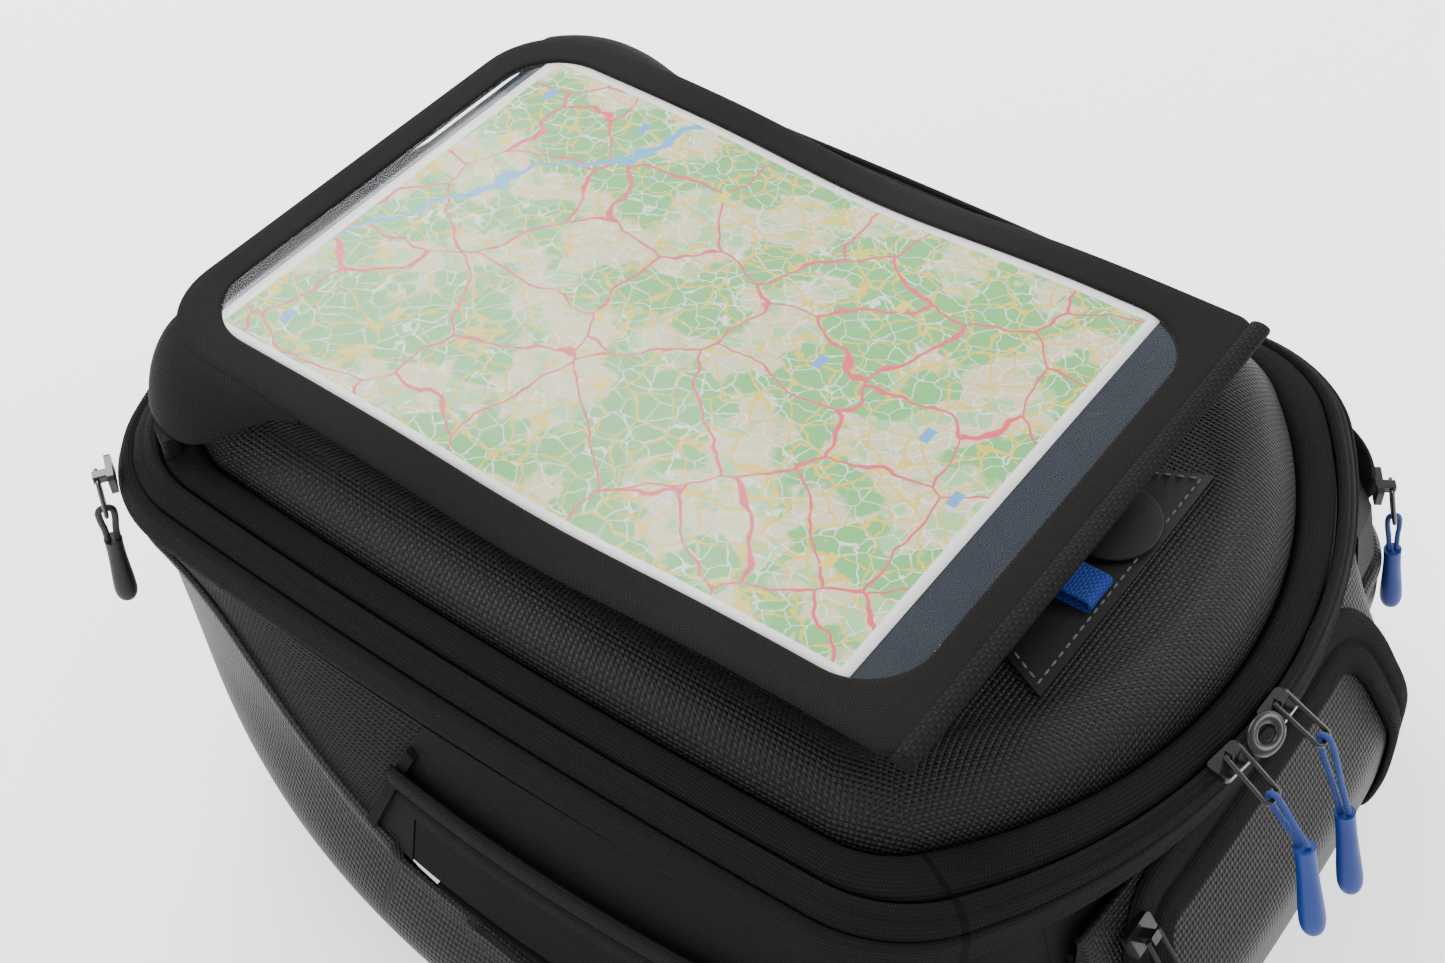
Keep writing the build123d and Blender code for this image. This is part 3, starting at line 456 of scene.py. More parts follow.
def corner_centre(first, second, vertex, corner):
    """The centre of the rounding that touches two arcs from inside, near a vertex."""
    (c1, r1), (c2, r2) = first, second
    a, b = r1 - corner, r2 - corner
    gap = c2 - c1
    d = np.hypot(*gap)
    along = (a ** 2 - b ** 2 + d ** 2) / (2 * d)
    off = math.sqrt(max(a ** 2 - along ** 2, 0))
    foot = c1 + gap / d * along
    side = np.array([-gap[1], gap[0]]) / d * off
    return min((foot + side, foot - side), key=lambda point: np.hypot(*(point - vertex)))


def outline(front_half, rear_half, front, rear, corner, side_bow, front_bow, rear_bow):
    """Points round a bowed outline, anticlockwise from its left rear corner, as many for any size."""
    low, high = rear + rear_bow, front - front_bow
    square = ((-rear_half, low), (rear_half, low), (front_half, high), (-front_half, high))
    vertices = [np.array(vertex, float) for vertex in square]
    bows = (rear_bow, side_bow, front_bow, side_bow)
    arcs = [bow_circle(vertices[i], vertices[(i + 1) % 4], bows[i]) for i in range(4)]
    corners = [corner_centre(arcs[i - 1], arcs[i], vertices[i], corner) for i in range(4)]
    points = []
    for i, kind in enumerate(STRETCHES):
        centre, radius = arcs[i]
        starts = (corners[i] - centre, corners[(i + 1) % 4] - centre)
        angles = np.unwrap([math.atan2(v[1], v[0]) for v in starts])
        for t in np.linspace(0, 1, ARC_POINTS[kind], endpoint=False):
            angle = angles[0] + (angles[1] - angles[0]) * t
            points.append(centre + radius * np.array([math.cos(angle), math.sin(angle)]))
        bend = corners[(i + 1) % 4]
        next_centre = arcs[(i + 1) % 4][0]
        turn = np.unwrap([math.atan2(*(bend - centre)[::-1]), math.atan2(*(bend - next_centre)[::-1])])
        for t in np.linspace(0, 1, ARC_POINTS["corner"], endpoint=False):
            angle = turn[0] + (turn[1] - turn[0]) * t
            points.append(bend + corner * np.array([math.cos(angle), math.sin(angle)]))
    return np.array(points)


def ring(outset, rear_outset=None):
    """The main zip's outline moved outward, by its own amount at the rear."""
    rear_outset = outset if rear_outset is None else rear_outset
    sizes = dict(RING)
    sizes["front_half"] += outset
    sizes["rear_half"] += outset
    sizes["front"] += outset
    sizes["rear"] -= rear_outset
    sizes["corner"] += 0.8 * outset
    return outline(**sizes)


STATION_HEIGHTS = np.array(list(STATIONS))
STATION_POINTS = np.array([outline(*sizes) for sizes in STATIONS.values()])
COLUMNS = STATION_POINTS.shape[1]


def hermite(knots, values, at, column=None):
    """A smooth curve through values at knots, for each place in at; column picks one value of a row."""
    slopes = np.gradient(values, knots, axis=0)
    at = np.clip(at, knots[0], knots[-1])
    i = np.clip(np.searchsorted(knots, at, side="right") - 1, 0, len(knots) - 2)
    start, end = (i, i + 1) if column is None else ((i, column), (i + 1, column))
    width = knots[i + 1] - knots[i]
    t = (at - knots[i]) / width
    if values[start].ndim > 1:
        t, width = t[:, None], width[:, None]
    return ((2 * t ** 3 - 3 * t ** 2 + 1) * values[start] + (t ** 3 - 2 * t ** 2 + t) * width * slopes[start]
            + (3 * t ** 2 - 2 * t ** 3) * values[end] + (t ** 3 - t ** 2) * width * slopes[end])


def body_points(heights, outset=0.0):
    """Points on the bag's outside at one height for each column, moved outward."""
    heights = np.broadcast_to(np.asarray(heights, float), (COLUMNS,))
    flat = hermite(STATION_HEIGHTS, STATION_POINTS, heights, np.arange(COLUMNS))
    flat = flat + outward(flat) * np.broadcast_to(np.asarray(outset, float), (COLUMNS,))[:, None]
    return np.column_stack([flat, heights])


def outward(flat):
    """Unit outward directions of a closed anticlockwise outline."""
    along = np.roll(flat, -1, axis=0) - np.roll(flat, 1, axis=0)
    along /= np.linalg.norm(along, axis=1)[:, None]
    return np.column_stack([along[:, 1], -along[:, 0]])


def rim_height(y):
    """The height of the tub's swooping rim at a distance along the bag."""
    shape = np.array(RIM_SHAPE, float)
    return hermite(shape[:, 0], shape[:, 1], y)


# each column's distance along the bag where the rim runs, and the rim's height there
ALONG = body_points(110.0)[:, 1]
RIM = rim_height(ALONG)


# ---------------------------------------------------------------- mesh makers
def new_piece(name, points, faces, uv, slot, body, replaced=()):
    """A mesh in millimetres turned into a shown piece that rides a body and stands for CAD nodes."""
    mesh = bpy.data.meshes.new(name)
    mesh.from_pydata((np.asarray(points) * MM).tolist(), [], faces)
    layer = mesh.uv_layers.new(name="cloth")
    if uv is not None:
        loops = np.zeros(len(mesh.loops), int)
        mesh.loops.foreach_get("vertex_index", loops)
        layer.data.foreach_set("uv", (np.asarray(uv)[loops] * MM).astype(np.float32).ravel())
    mesh.polygons.foreach_set("use_smooth", [True] * len(mesh.polygons))
    mesh.materials.append(CLOTH.get(slot, MATERIALS[slot]))
    piece = bpy.data.objects.new(name, mesh)
    bpy.context.scene.collection.objects.link(piece)
    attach(piece, body)
    if replaced:
        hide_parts(*replaced)
    return piece


def thicken(piece, thickness, offset=-1):
    """Give a surface a thickness in millimetres, inward unless told otherwise."""
    wall = piece.modifiers.new("wall", "SOLIDIFY")
    wall.thickness = thickness * MM
    wall.offset = offset


def grid_faces(rows, columns, wrap_rows=False, wrap_columns=False):
    """Quads of a grid of points numbered row by row."""
    faces = []
    for r in range(rows if wrap_rows else rows - 1):
        for c in range(columns if wrap_columns else columns - 1):
            r2, c2 = (r + 1) % rows, (c + 1) % columns
            faces.append((r * columns + c, r * columns + c2, r2 * columns + c2, r2 * columns + c))
    return faces


def arc_length(points):
    """Running length along each column of a grid of rows."""
    steps = np.linalg.norm(np.diff(points, axis=0), axis=2)
    return np.vstack([np.zeros(points.shape[1]), np.cumsum(steps, axis=0)])


def cloth_uv(grid):
    """Lengths round and down a grid of rows, measured on its own surface."""
    loop = np.linalg.norm(np.diff(grid[len(grid) // 2], axis=0), axis=1)
    round_the_bag = np.concatenate([[0], np.cumsum(loop)])
    down = arc_length(grid)
    u = np.broadcast_to(round_the_bag, down.shape)
    return np.stack([u, down], axis=-1).reshape(-1, 2)


def skin(name, rows, slot, body, thickness, replaced):
    """A wall round the bag: an outside surface of rows of columns, thickened inward."""
    grid = np.array(rows)
    faces = [face[::-1] for face in grid_faces(len(rows), COLUMNS, wrap_columns=True)]
    piece = new_piece(name, grid.reshape(-1, 3), faces, cloth_uv(grid), slot, body, replaced)
    thicken(piece, thickness)
    return piece


def smooth_profile(points, count, closed=False):
    """Evenly spaced points on a smooth curve through a few."""
    points = np.array(points, float)
    if closed:
        points = np.vstack([points[-2:], points, points[:3]])
    length = np.concatenate([[0], np.cumsum(np.linalg.norm(np.diff(points, axis=0), axis=1))])
    start, end = (length[2], length[-3]) if closed else (0, length[-1])
    at = np.linspace(start, end, count, endpoint=not closed)
    return hermite(length, points, at)


def ring_band(name, profile, slot, body, replaced=(), samples=40):
    """A closed band along the main zip; profile is a loop of (outset, outset at the rear, height)."""
    shape = smooth_profile(profile, samples, closed=True)
    rows = []
    for outset, rear_outset, height in shape:
        flat = ring(outset, rear_outset)
        rows.append(np.column_stack([flat, np.full(COLUMNS, height)]))
    grid = np.array(rows)
    uv = cloth_uv(grid)
    faces = grid_faces(len(rows), COLUMNS, wrap_rows=True, wrap_columns=True)
    return new_piece(name, grid.reshape(-1, 3), faces, uv, slot, body, replaced)


def strip(name, path, normals, profile, slot, body, samples, replaced=()):
    """A strip along a path on a surface; profile is a loop of (across, out of the surface)."""
    path, normals = np.array(path, float), np.array(normals, float)
    along = np.gradient(path, axis=0)
    along /= np.linalg.norm(along, axis=1)[:, None]
    normals = normals - along * (normals * along).sum(1)[:, None]
    normals /= np.linalg.norm(normals, axis=1)[:, None]
    across = np.cross(along, normals)
    shape = smooth_profile(profile, samples, closed=True)
    grid = (path[:, None] + across[:, None] * shape[None, :, :1] + normals[:, None] * shape[None, :, 1:])
    run = np.concatenate([[0], np.cumsum(np.linalg.norm(np.diff(path, axis=0), axis=1))])
    girth = np.concatenate([[0], np.cumsum(np.linalg.norm(np.diff(shape, axis=0), axis=1))])
    uv = np.stack(np.broadcast_arrays(run[:, None], girth[None, :]), axis=-1).reshape(-1, 2)
    count = len(shape)
    faces = grid_faces(len(path), count, wrap_columns=True)
    faces.append(tuple(range(count))[::-1])
    faces.append(tuple(range((len(path) - 1) * count, len(path) * count)))
    faces = [face[::-1] for face in faces]
    return new_piece(name, grid.reshape(-1, 3), faces, uv, slot, body, replaced)


def rounded_rectangle(half_x, low_y, high_y, front_r, rear_r, per_corner=14, per_side=30):
    """Points round a rectangle with its own front and rear corner radii, anticlockwise from the left rear."""
    corners = (
        (half_x - rear_r, low_y + rear_r, rear_r, -90),
        (half_x - front_r, high_y - front_r, front_r, 0),
        (front_r - half_x, high_y - front_r, front_r, 90),
        (rear_r - half_x, low_y + rear_r, rear_r, 180),
    )
    points = []
    for k, (x, y, radius, start) in enumerate(corners):
        for t in np.linspace(0, 90, per_corner):
            angle = math.radians(start + t)
            points.append((x + radius * math.cos(angle), y + radius * math.sin(angle)))
        next_x, next_y, next_r, next_start = corners[(k + 1) % 4]
        angle = math.radians(next_start)
        goal = (next_x + next_r * math.cos(angle), next_y + next_r * math.sin(angle))
        last = points[-1]
        for t in np.linspace(0, 1, per_side + 2)[1:-1]:
            points.append((last[0] + (goal[0] - last[0]) * t, last[1] + (goal[1] - last[1]) * t))
    return np.array(points)


# ---------------------------------------------------------------- moulded shells
def inward_rows(start, steps):
    """Outlines that shrink from one outline to nearly its middle."""
    middle = start.mean(axis=0)
    return [middle + (start - middle) * (1 - step) for step in steps]


def make_lid():
    """The moulded lid: a wall inside the zip, a puffy rolled edge and a dished top."""
    shape = smooth_profile(LID_EDGE, 40)
    rows = [np.column_stack([ring(outset), np.full(COLUMNS, height)]) for outset, height in shape]
    for flat in inward_rows(ring(LID_FLAT_EDGE), np.linspace(0.06, 0.97, 22)):
        rows.append(np.column_stack([flat, np.full(COLUMNS, LID_TOP)]))
    grid = np.array(rows)
    faces = grid_faces(len(rows), COLUMNS, wrap_columns=True)
    last = (len(rows) - 1) * COLUMNS
    faces.append(tuple(range(last, last + COLUMNS)))
    flat_uv = grid[:, :, :2].copy()
    walls = len(shape)
    top_edge = ring(LID_FLAT_EDGE)
    run = arc_length(grid[:walls])
    flat_uv[:walls] = top_edge + outward(top_edge) * (run[-1] - run)[:, :, None]
    lid = new_piece("lid_moulding", grid.reshape(-1, 3), faces, flat_uv.reshape(-1, 2), "moulded_eva", "lid",
                    ["lid_shell"])
    thicken(lid, LID_WALL)
    return lid


def make_tub():
    """The moulded lower shell with its swooping, rolled upper lip."""
    rows = []
    for t in np.linspace(0, 1, 34):
        height = TUB_FOOT + (RIM - 6 - TUB_FOOT) * t
        rows.append(body_points(height, outset=1.2 * math.sin(math.pi * t)))
    # beside the doors the lip stays below the doors' lower edge, so that they can swing out over it
    by_door = (ALONG > DOOR["rear"] - DOOR_MARGIN) & (ALONG < DOOR["front"] + DOOR_MARGIN)
    ceiling = np.where(by_door, DOOR["bottom"] - DOOR_GAP, np.inf)
    for rise, outset in LIP_STEPS:
        capped = np.minimum(RIM + rise, ceiling + 0.25 * rise)
        rows.append(body_points(capped, outset=np.where(by_door, 0.4 * outset, outset)))
    return skin("tub_moulding", rows[::-1], "moulded_eva", "bag", TUB_WALL, ["bottom_shell"])


def make_skirt():
    """The fabric skirt between the tub and the base."""
    rows = [body_points(height, outset=outset) for height, outset in SKIRT_STEPS]
    return skin("skirt", rows[::-1], "skirt_fabric", "bag", SKIRT_WALL, ["base_skirt"])


# the rear pocket's depth at each height
POCKET_DEPTH = smooth_profile([(33.5, 14), (38, 26), (46, 34), (60, 37.5), (80, 38.2),
                               (96, 36.5), (112, 26.5), (130, 13.5), (143, 5), (149.5, 0.5)], 44)


def pocket_face(x, z):
    """How far back the rear pocket's cover stands at a place across and up it."""
    share = (1 - np.clip(np.abs(x) / (POCKET_HALF - 1), 0, 1) ** POCKET_CORNER_POWER) ** (1 / 5)
    depth = np.interp(z, POCKET_DEPTH[:, 0], POCKET_DEPTH[:, 1])
    return -199 - depth * share + 6 * (x / 150) ** 2


def make_pocket():
    """The rear pocket's moulded cover: a rounded box that leans out from the bag's end."""
    columns = 84
    across = np.linspace(-1, 1, columns)
    x = (POCKET_HALF - 1) * np.sign(across) * (1 - (1 - np.abs(across)) ** 1.15)
    rows = []
    for height in POCKET_DEPTH[:, 0]:
        rows.append(np.column_stack([x, pocket_face(x, height), np.full(columns, height)]))
    grid = np.array(rows)
    run = np.concatenate([[0], np.cumsum(np.hypot(*np.diff(POCKET_DEPTH, axis=0).T))])
    side = np.concatenate([[0], np.cumsum(np.linalg.norm(np.diff(grid[20], axis=0), axis=1))])
    uv = np.stack(np.broadcast_arrays(side[None, :], run[:, None]), axis=-1).reshape(-1, 2)
    faces = grid_faces(len(rows), columns)
    pocket = new_piece("pocket_moulding", grid.reshape(-1, 3), faces, uv, "moulded_eva", "rear_pocket",
                       ["rear_pocket_cover"])
    thicken(pocket, POCKET_WALL)
    return pocket


# ---------------------------------------------------------------- zip bands
def make_bands():
    """Puffy knit tapes that hide the coils and meet in a fine line over each zip."""
    ring_band("lid_tape", [(-13.1, -13.1, 179), (-13.3, -13.3, 184), (-11.4, -11.4, 187.6), (-7.6, -7.6, 188),
                           (-3.6, -3.6, 186.8), (-1, -1, 185.2), (-0.45, -0.45, 183.6), (-1.4, -1.4, 181.4),
                           (-7, -7, 178.4)],
              "zip_tape", "lid", ["lid_band"])
    ring_band("lid_zip_coil", [(-1.9, -1.9, 180.2), (-1.9, -1.9, 182),
                               (-0.3, -0.3, 182), (-0.3, -0.3, 180.2)],
              "zip_teeth", "lid", ["lid_zip"], samples=12)
    ring_band("body_tape", [(0.4, 0.4, 182.4), (0.5, 0.5, 184.4), (1.8, 1.6, 185.3), (3.8, 3.3, 184.4),
                            (5.2, 4.2, 182.4), (6.6, 5, 181.5), (8.4, 5.7, 179.4), (9.4, 6.2, 177.2),
                            (8.6, 5.8, 175.8), (5.4, 4.6, 176.8), (2.4, 2.2, 179.2)],
              "zip_tape", "bag", ["body_band"], samples=56)
    ring_band("body_zip_coil", [(0.3, 0.3, 180.2), (0.3, 0.3, 182), (1.9, 1.9, 182), (1.9, 1.9, 180.2)],
              "zip_teeth", "bag", ["body_zips"], samples=12)
    ring_band("gusset_tape", [(8.6, 3.3, 173), (9.2, 5.4, 176), (11.2, 6, 176.9), (13.4, 6.6, 175.6),
                              (14.6, 6.4, 172.8), (15.6, 6, 169.8), (16.4, 6, 167), (16.2, 5.8, 164.6),
                              (14.6, 5, 163), (11.4, 4, 163.6), (9, 3.4, 168)],
              "zip_tape", "bag", ["gusset_band"], samples=56)


# across a tape and out of it: two puffy halves that meet in a groove
TAPE_PROFILE = [(-TAPE_HALF, 0.2), (-TAPE_HALF + 1, 1.5), (-6.4, 2.3), (-1.4, 1.5), (0, 0.5), (1.4, 1.5),
                (6.4, 2.3), (TAPE_HALF - 1, 1.5), (TAPE_HALF, 0.2), (6.4, -0.8), (-6.4, -0.8)]


def side_zip_tape(side, name):
    """The side pocket's zip: two knit tapes along the bag that meet in a fine line."""
    wall = body_points(SIDE_ZIP_Z, outset=0.3)
    beyond = body_points(SIDE_ZIP_Z, outset=1.3)
    chosen = [k for k in range(COLUMNS) if side * wall[k, 0] > 146 and wall[k, 1] < SIDE_ZIP_FRONT]
    path = wall[chosen]
    return strip(name, path, beyond[chosen] - path, TAPE_PROFILE, "zip_tape", "bag", 44,
                 ["side_zips"] if side < 0 else [])


def pocket_zip_tape():
    """The rear pocket's zip tape, over the top of the cover and down both ends."""
    top_z, end_z, half, bend = 138, 36, 86.0, 24.0
    inner, shoulder = half - bend, top_z - bend
    turn = np.linspace(0.15, 1.42, 9)
    flat = [(-half, end_z), (-half, shoulder)]
    flat += [(-inner - bend * math.cos(a), shoulder + bend * math.sin(a)) for a in turn]
    flat += [(x, top_z) for x in np.linspace(-inner, inner, 24)]
    flat += [(inner + bend * math.sin(a), shoulder + bend * math.cos(a)) for a in turn]
    flat += [(half, shoulder), (half, end_z)]
    flat = smooth_profile(flat, 150)
    points = np.array([(x, pocket_face(x, z) - 0.6, z) for x, z in flat])
    normals = []
    for x, z in flat:
        slope_x = (pocket_face(x + 1, z) - pocket_face(x - 1, z)) / 2
        slope_z = (pocket_face(x, z + 1) - pocket_face(x, z - 1)) / 2
        normals.append((slope_x, -1.0, slope_z))
    return strip("pocket_zip_tape", points, normals, TAPE_PROFILE, "zip_tape", "rear_pocket", 44)


# ---------------------------------------------------------------- map holder
def sag(x, y):
    """How far the unsupported sides of the holder drop between the lid's ends."""
    return 7.5 * np.exp(-((np.asarray(y) - 25) / 62) ** 2) * np.clip(np.abs(x) / MAP_HALF, 0, 1.1) ** 2.2


def loops_to_ring(name, loops, slot, body, replaced):
    """A closed ring from loops of points that run round its section."""
    grid = np.array(loops)
    faces = [face[::-1] for face in grid_faces(len(loops), grid.shape[1], wrap_rows=True, wrap_columns=True)]
    return new_piece(name, grid.reshape(-1, 3), faces, grid[:, :, :2].reshape(-1, 2), slot, body, replaced)


def make_frame():
    """The fabric frame round the map window, with soft edges and a stitched inner hem."""
    outer = rounded_rectangle(MAP_HALF, MAP_REAR, MAP_FRONT, FRAME_CORNER, 8)
    inner = rounded_rectangle(WINDOW_HALF, WINDOW_REAR, WINDOW_FRONT, WINDOW_CORNER, WINDOW_CORNER)
    section = ((0, 220.4), (0, 221.3), (0.06, 222), (0.3, 222.2), (0.6, 222.0), (0.9, 222.1),
               (0.97, 221.8), (1, 221.2), (1, 219.6), (0.8, 219), (0.4, 219), (0.05, 219.2))
    loops = []
    for share, height in section:
        flat = outer + (inner - outer) * share
        loops.append(np.column_stack([flat, height - sag(flat[:, 0], flat[:, 1])]))
    return loops_to_ring("holder_frame", loops, "holder_fabric", "map_holder", ["map_frame"])


def flat_sheet(name, half, rear, front, height, wave, slot, thickness, replaced):
    """A thin sheet that follows the holder's sag and has its own slow waves."""
    columns, rows = 60, 90
    x, y = np.meshgrid(np.linspace(-half, half, columns), np.linspace(rear, front, rows))
    z = height - sag(x, y) + wave(x, y)
    points = np.stack([x, y, z], axis=-1).reshape(-1, 3)
    piece = new_piece(name, points, grid_faces(rows, columns), points[:, :2], slot, "map_holder", replaced)
    thicken(piece, thickness)
    return piece


def no_wave(x, y):
    return 0 * x


def paper_wave(x, y):
    return 0.12 * np.sin(x / 23) * np.sin(y / 31)


def film_wave(x, y):
    """Faint ripples near the film's ends and along its sides."""
    near_end = np.clip((np.abs(y - 40) - 110) / 50, 0, 1)
    near_side = np.clip((np.abs(x) - 80) / 20, 0, 1)
    return 0.15 * np.sin(x / 17 + y / 40) * near_end + 0.1 * np.sin(y / 12) * near_side


def make_binding():
    """The binding along the holder's rear edge."""
    count = 60
    x = np.linspace(1 - MAP_HALF, MAP_HALF - 1, count)
    middle = MAP_REAR - 1.2
    path = np.column_stack([x, np.full(count, middle), 220.6 - sag(x, middle)])
    profile = [(-4, 0), (-3.9, 1.2), (-3, 1.9), (3, 1.9), (3.9, 1.2),
               (4, 0), (3.9, -1.2), (3, -1.9), (-3, -1.9), (-3.9, -1.2)]
    return strip("holder_binding", path, np.tile([0, 0, 1], (count, 1)), profile, "binding", "map_holder", 24,
                 ["map_binding"])


def make_wings():
    """The holder's front corners: fabric that curves down over the lid's edge to the webbing anchors."""
    points, faces, uv = [], [], []
    rows, columns = 16, 24
    for side in (-1, 1):
        start = len(points)
        for r, t in enumerate(np.linspace(0, 1, rows)):
            for c, q in enumerate(np.linspace(0, 1, columns)):
                y = 128 + 78 * q
                past = max(0.0, y - (MAP_FRONT - FRAME_CORNER))
                edge = MAP_HALF - FRAME_CORNER + math.sqrt(FRAME_CORNER ** 2 - past ** 2) - 3
                reach = 3 + 22 * math.sin(math.pi / 2 * min(1.0, q * 1.6)) ** 2
                x = edge + reach * math.sin(t * 1.25)
                z = 221.2 - sag(edge, y) - reach * (1 - math.cos(t * 1.45)) * 1.05
                points.append((side * x, y, z))
                uv.append((reach * t, y))
        for face in grid_faces(rows, columns):
            face = tuple(start + k for k in face)
            faces.append(face if side > 0 else face[::-1])
    wings = new_piece("holder_wings", points, faces, uv, "holder_fabric", "map_holder", ["map_wings"])
    thicken(wings, WING_WALL, offset=0)
    return wings


# ---------------------------------------------------------------- lid patch and its tab
def tongue_outline(half, length, tip, count=12):
    """A tongue that points backward with a round tip, from its root at zero."""
    turn = np.linspace(0, math.pi / 2, count)
    points = [(-half, 0), (half, 0)]
    points += [(half - tip + tip * math.cos(a), -length + tip - tip * math.sin(a)) for a in turn]
    points += [(-half + tip - tip * math.sin(a), -length + tip - tip * math.cos(a)) for a in turn]
    return points


def slab(name, outline_points, bottom, top, slot, body, replaced, edge=0.5):
    """A flat piece of even thickness with softly rounded edges."""
    flat = np.array(outline_points, float)
    middle = flat.mean(axis=0)
    direction = flat - middle
    direction /= np.linalg.norm(direction, axis=1)[:, None]
    levels = ((bottom, -edge), (bottom + edge, 0), (top - edge, 0),
              (top - 0.3 * edge, -0.35 * edge), (top, -edge))
    count = len(flat)
    rows = [np.column_stack([flat + direction * outset, np.full(count, height)]) for height, outset in levels]
    points = np.vstack(rows)
    faces = grid_faces(len(rows), count, wrap_columns=True)
    faces.append(tuple(range(count))[::-1])
    faces.append(tuple(range((len(rows) - 1) * count, len(rows) * count)))
    return new_piece(name, points, faces, points[:, :2], slot, body, replaced)


PATCH_CORNERS = ((-61, -151), (61, -151), (46, -118), (46, -30), (-46, -30), (-46, -118))
STITCH_LINE = ((-43, -34), (-43, -119), (-56.5, -147.5), (56.5, -147.5), (43, -119), (43, -34))
STITCH_PITCH = 4.6
STITCH_LENGTH = 3.0
STITCH_RADIUS = 0.5
STITCH_SIDES = 6
# each ring of points along a stitch: its place and its girth, as shares
STITCH_RINGS = ((-0.5, 0.3), (-0.35, 0.85), (0, 1.0), (0.35, 0.85), (0.5, 0.3))


def make_patch():
    """The rubber patch on the lid with its dashed grey stitching, and the rounded pull tab over it."""
    slab("patch", PATCH_CORNERS, LID_TOP + 0.1, LID_TOP + 1.4, "patch_rubber", "lid", ["lid_patch"])
    tab = [(x + 18.5, y - 112) for x, y in tongue_outline(19, 38.5, 18.5)]
    slab("tab", tab, 203.2, 205.6, "patch_rubber", "lid", ["lid_tab"], edge=1.0)
    make_stitches(np.array([(x, y, LID_TOP + 1.5) for x, y in STITCH_LINE], float))


def make_stitches(path):
    """Separate short thread stitches along a level path, each a small ellipsoid half sunk in the patch."""
    steps = np.concatenate([[0], np.cumsum(np.linalg.norm(np.diff(path, axis=0), axis=1))])
    turns = np.linspace(0, 2 * math.pi, STITCH_SIDES, endpoint=False)
    up = np.array([0, 0, 1.0])
    points, faces = [], []

    def at(place):
        place = min(max(place, 0), steps[-1])
        return np.array([np.interp(place, steps, path[:, k]) for k in range(3)])

    for place in np.arange(STITCH_PITCH / 2, steps[-1], STITCH_PITCH):
        ahead, behind = at(place + 0.5), at(place - 0.5)
        along = (ahead - behind) / np.linalg.norm(ahead - behind)
        side = np.cross(along, up)
        first = len(points)
        for share, girth in STITCH_RINGS:
            for turn in turns:
                round_it = side * math.cos(turn) + up * math.sin(turn)
                points.append(at(place) + along * STITCH_LENGTH * share + round_it * STITCH_RADIUS * girth)
        rings = len(STITCH_RINGS)
        stitch = grid_faces(rings, STITCH_SIDES, wrap_columns=True)
        stitch.append(tuple(range(STITCH_SIDES))[::-1])
        stitch.append(tuple(range((rings - 1) * STITCH_SIDES, rings * STITCH_SIDES)))
        faces += [tuple(first + k for k in face) for face in stitch]
    return new_piece("patch_stitches", points, faces, None, "liner_fabric", "lid")


def make_lock_ring():
    """The eyelet beside the left main slider through which both sliders can be locked together."""
    middle = np.array([-23.0, -215.5, 190.6])
    facing = np.array([-0.1, -0.62, 0.78])
    across = np.array([1.0, -0.1, 0.0])
    across -= facing * facing.dot(across) / facing.dot(facing)
    across /= np.linalg.norm(across)
    along = np.cross(facing, across)
    around = np.linspace(0, 2 * math.pi, 40, endpoint=False)
    oval = 1.35 * np.cos(around)[:, None] * across + np.sin(around)[:, None] * along
    rows = []
    for a in np.linspace(0, 2 * math.pi, 10, endpoint=False):
        rows.append(middle + (4.9 + 1.9 * math.cos(a)) * oval + 1.1 * math.sin(a) * facing)
    grid = np.array(rows)
    faces = [face[::-1] for face in grid_faces(len(rows), len(around), wrap_rows=True, wrap_columns=True)]
    return new_piece("lock_ring", grid.reshape(-1, 3), faces, None, "slider_metal", "main_left_slider")


# ---------------------------------------------------------------- cords, on the CAD's routes, in metres
PULL_ROUTES = {
    "main_left": [(-0.04243, -0.24334, 0.17242), (-0.04148, -0.23763, 0.17734), (-0.04072, -0.23313, 0.18225),
                  (-0.03982, -0.22775, 0.18676), (-0.03931, -0.22474, 0.18313), (-0.04021, -0.23006, 0.17854),
                  (-0.04114, -0.2356, 0.1749), (-0.04211, -0.24138, 0.17005)],
    "main_right": [(-0.0094, -0.24599, 0.15393), (-0.00921, -0.24067, 0.16601), (-0.00906, -0.23673, 0.1769),
                   (-0.0089, -0.23238, 0.18654), (-0.00874, -0.22805, 0.18461), (-0.0089, -0.23231, 0.17493),
                   (-0.0091, -0.23775, 0.16471), (-0.0093, -0.24316, 0.15267)],
    "expansion": [(-0.16637, 0.21181, 0.13982), (-0.16608, 0.21161, 0.14581), (-0.16663, 0.21199, 0.15112),
                  (-0.16621, 0.2117, 0.15757), (-0.16125, 0.20828, 0.15715), (-0.16157, 0.20851, 0.15069),
                  (-0.16274, 0.20931, 0.14553), (-0.16313, 0.20958, 0.13955)],
    "side_left": [(-0.16599, -0.19706, 0.09355), (-0.16532, -0.19598, 0.10104), (-0.16513, -0.19569, 0.10774),
                  (-0.16446, -0.19461, 0.1147), (-0.16198, -0.19064, 0.11388), (-0.16261, -0.19165, 0.1069),
                  (-0.16365, -0.19331, 0.10049), (-0.16437, -0.19447, 0.09301)],
}
PULL_ROUTES["side_right"] = [(-x, y, z) for x, y, z in PULL_ROUTES["side_left"]]
CORD_RADIUS = {pull: 0.0011 for pull in PULL_ROUTES}
CORD_RADIUS["expansion"] = 0.0014


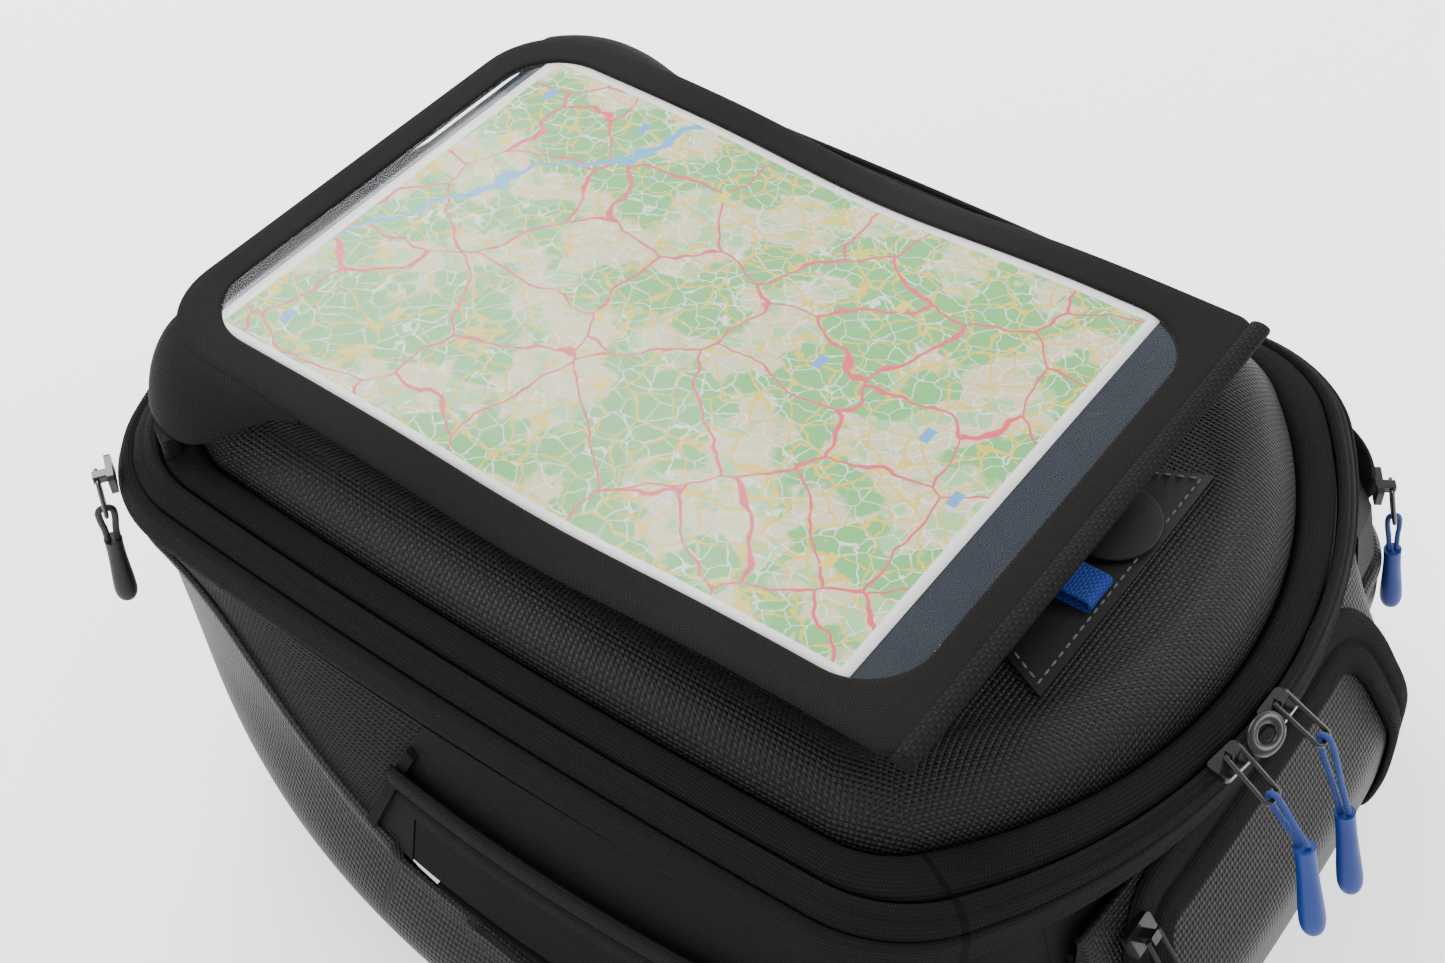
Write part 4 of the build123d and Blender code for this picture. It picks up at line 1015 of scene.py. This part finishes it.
def make_cord(pull):
    """One braided cord that leaves its grip, passes round the wire bail and goes back into the grip."""
    curve = bpy.data.curves.new(pull + "_braid", "CURVE")
    curve.dimensions = "3D"
    curve.bevel_depth = CORD_RADIUS[pull]
    curve.bevel_resolution = 4
    curve.resolution_u = 12
    curve.use_fill_caps = True
    spline = curve.splines.new("NURBS")
    route = PULL_ROUTES[pull]
    spline.points.add(len(route) - 1)
    for point, place in zip(spline.points, route):
        point.co = (*place, 1)
    spline.order_u = 3
    spline.use_endpoint_u = True
    colour = "dark_cord" if pull == "expansion" else "blue_cord"
    curve.materials.append(MATERIALS[colour])
    cord = bpy.data.objects.new(pull + "_braid", curve)
    bpy.context.scene.collection.objects.link(cord)
    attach(cord, pull + "_pull")
    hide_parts(pull + "_cord")
    return cord


for pull_name in PULL_ROUTES:
    make_cord(pull_name)
lid = make_lid()
tub = make_tub()
make_skirt()
pocket = make_pocket()
make_bands()
make_frame()
road_map = flat_sheet("road_map", SHEET_HALF, SHEET_REAR, SHEET_FRONT, SHEET_TOP, paper_wave,
                      "map_paper", 0.25, ["map_sheet"])
flat_sheet("window_film", WINDOW_HALF + 3, WINDOW_REAR - 3, WINDOW_FRONT + 3, FILM_TOP, film_wave,
           "clear_vinyl", 0.3, ["map_window"])
flat_sheet("backing_sheet", 110, MAP_REAR + 6, 200, BACKING_TOP, no_wave,
           "backing_film", 0.4, ["map_backing"])
make_binding()
make_wings()
make_patch()
make_lock_ring()
side_zip_tape(-1, "side_zip_tape_left")
side_zip_tape(1, "side_zip_tape_right")
pocket_zip_tape()


# ---------------------------------------------------------------- stage, in metres
BAG_MIDDLE = Vector((0, 0, 0.1))


def make_stage():
    """A pale studio floor that curves up behind the bag, and soft light."""
    mesh = bpy.data.meshes.new("floor")
    bend, reach, half_width = 1.2, 3.0, 6
    profile = [(-reach, 0), (reach, 0)]
    profile += [(reach + bend * math.sin(a), bend - bend * math.cos(a)) for a in np.linspace(0.1, 1.5, 12)]
    profile.append((4.25, 4))
    points = [(x, y, z) for x in (-half_width, half_width) for y, z in profile]
    count = len(profile)
    mesh.from_pydata(points, [], [(k, k + 1, count + k + 1, count + k) for k in range(count - 1)])
    floor = bpy.data.objects.new("floor", mesh)
    floor.rotation_euler = (0, 0, -HEADING)
    shade = Shade("floor_paint", (0.93, 0.93, 0.93), 0.7)
    shade.shader.inputs["Emission Color"].default_value = (1, 1, 1, 1)
    shade.shader.inputs["Emission Strength"].default_value = 0.95
    mesh.materials.append(shade.material)
    bpy.context.scene.collection.objects.link(floor)


def add_light(name, place, size, power):
    """A rectangular light that faces the bag's middle."""
    light = bpy.data.lights.new(name, "AREA")
    light.shape = "RECTANGLE"
    light.size, light.size_y = size
    light.energy = power
    holder = bpy.data.objects.new(name, light)
    holder.location = place
    holder.rotation_euler = (BAG_MIDDLE - Vector(place)).to_track_quat("-Z", "Y").to_euler()
    bpy.context.scene.collection.objects.link(holder)


make_stage()
add_light("key", (0.5, 1.6, 1.9), (1.8, 0.9), 75)
add_light("fill", (-1.7, 0.2, 1.0), (1.2, 1.2), 10)
add_light("rear", (1.3, -1.5, 1.3), (1.2, 1.0), 26)
world = bpy.data.worlds.new("studio")
world.use_nodes = True
world.node_tree.nodes["Background"].inputs[0].default_value = (1, 1, 1, 1)
world.node_tree.nodes["Background"].inputs[1].default_value = 1.15
bpy.context.scene.world = world
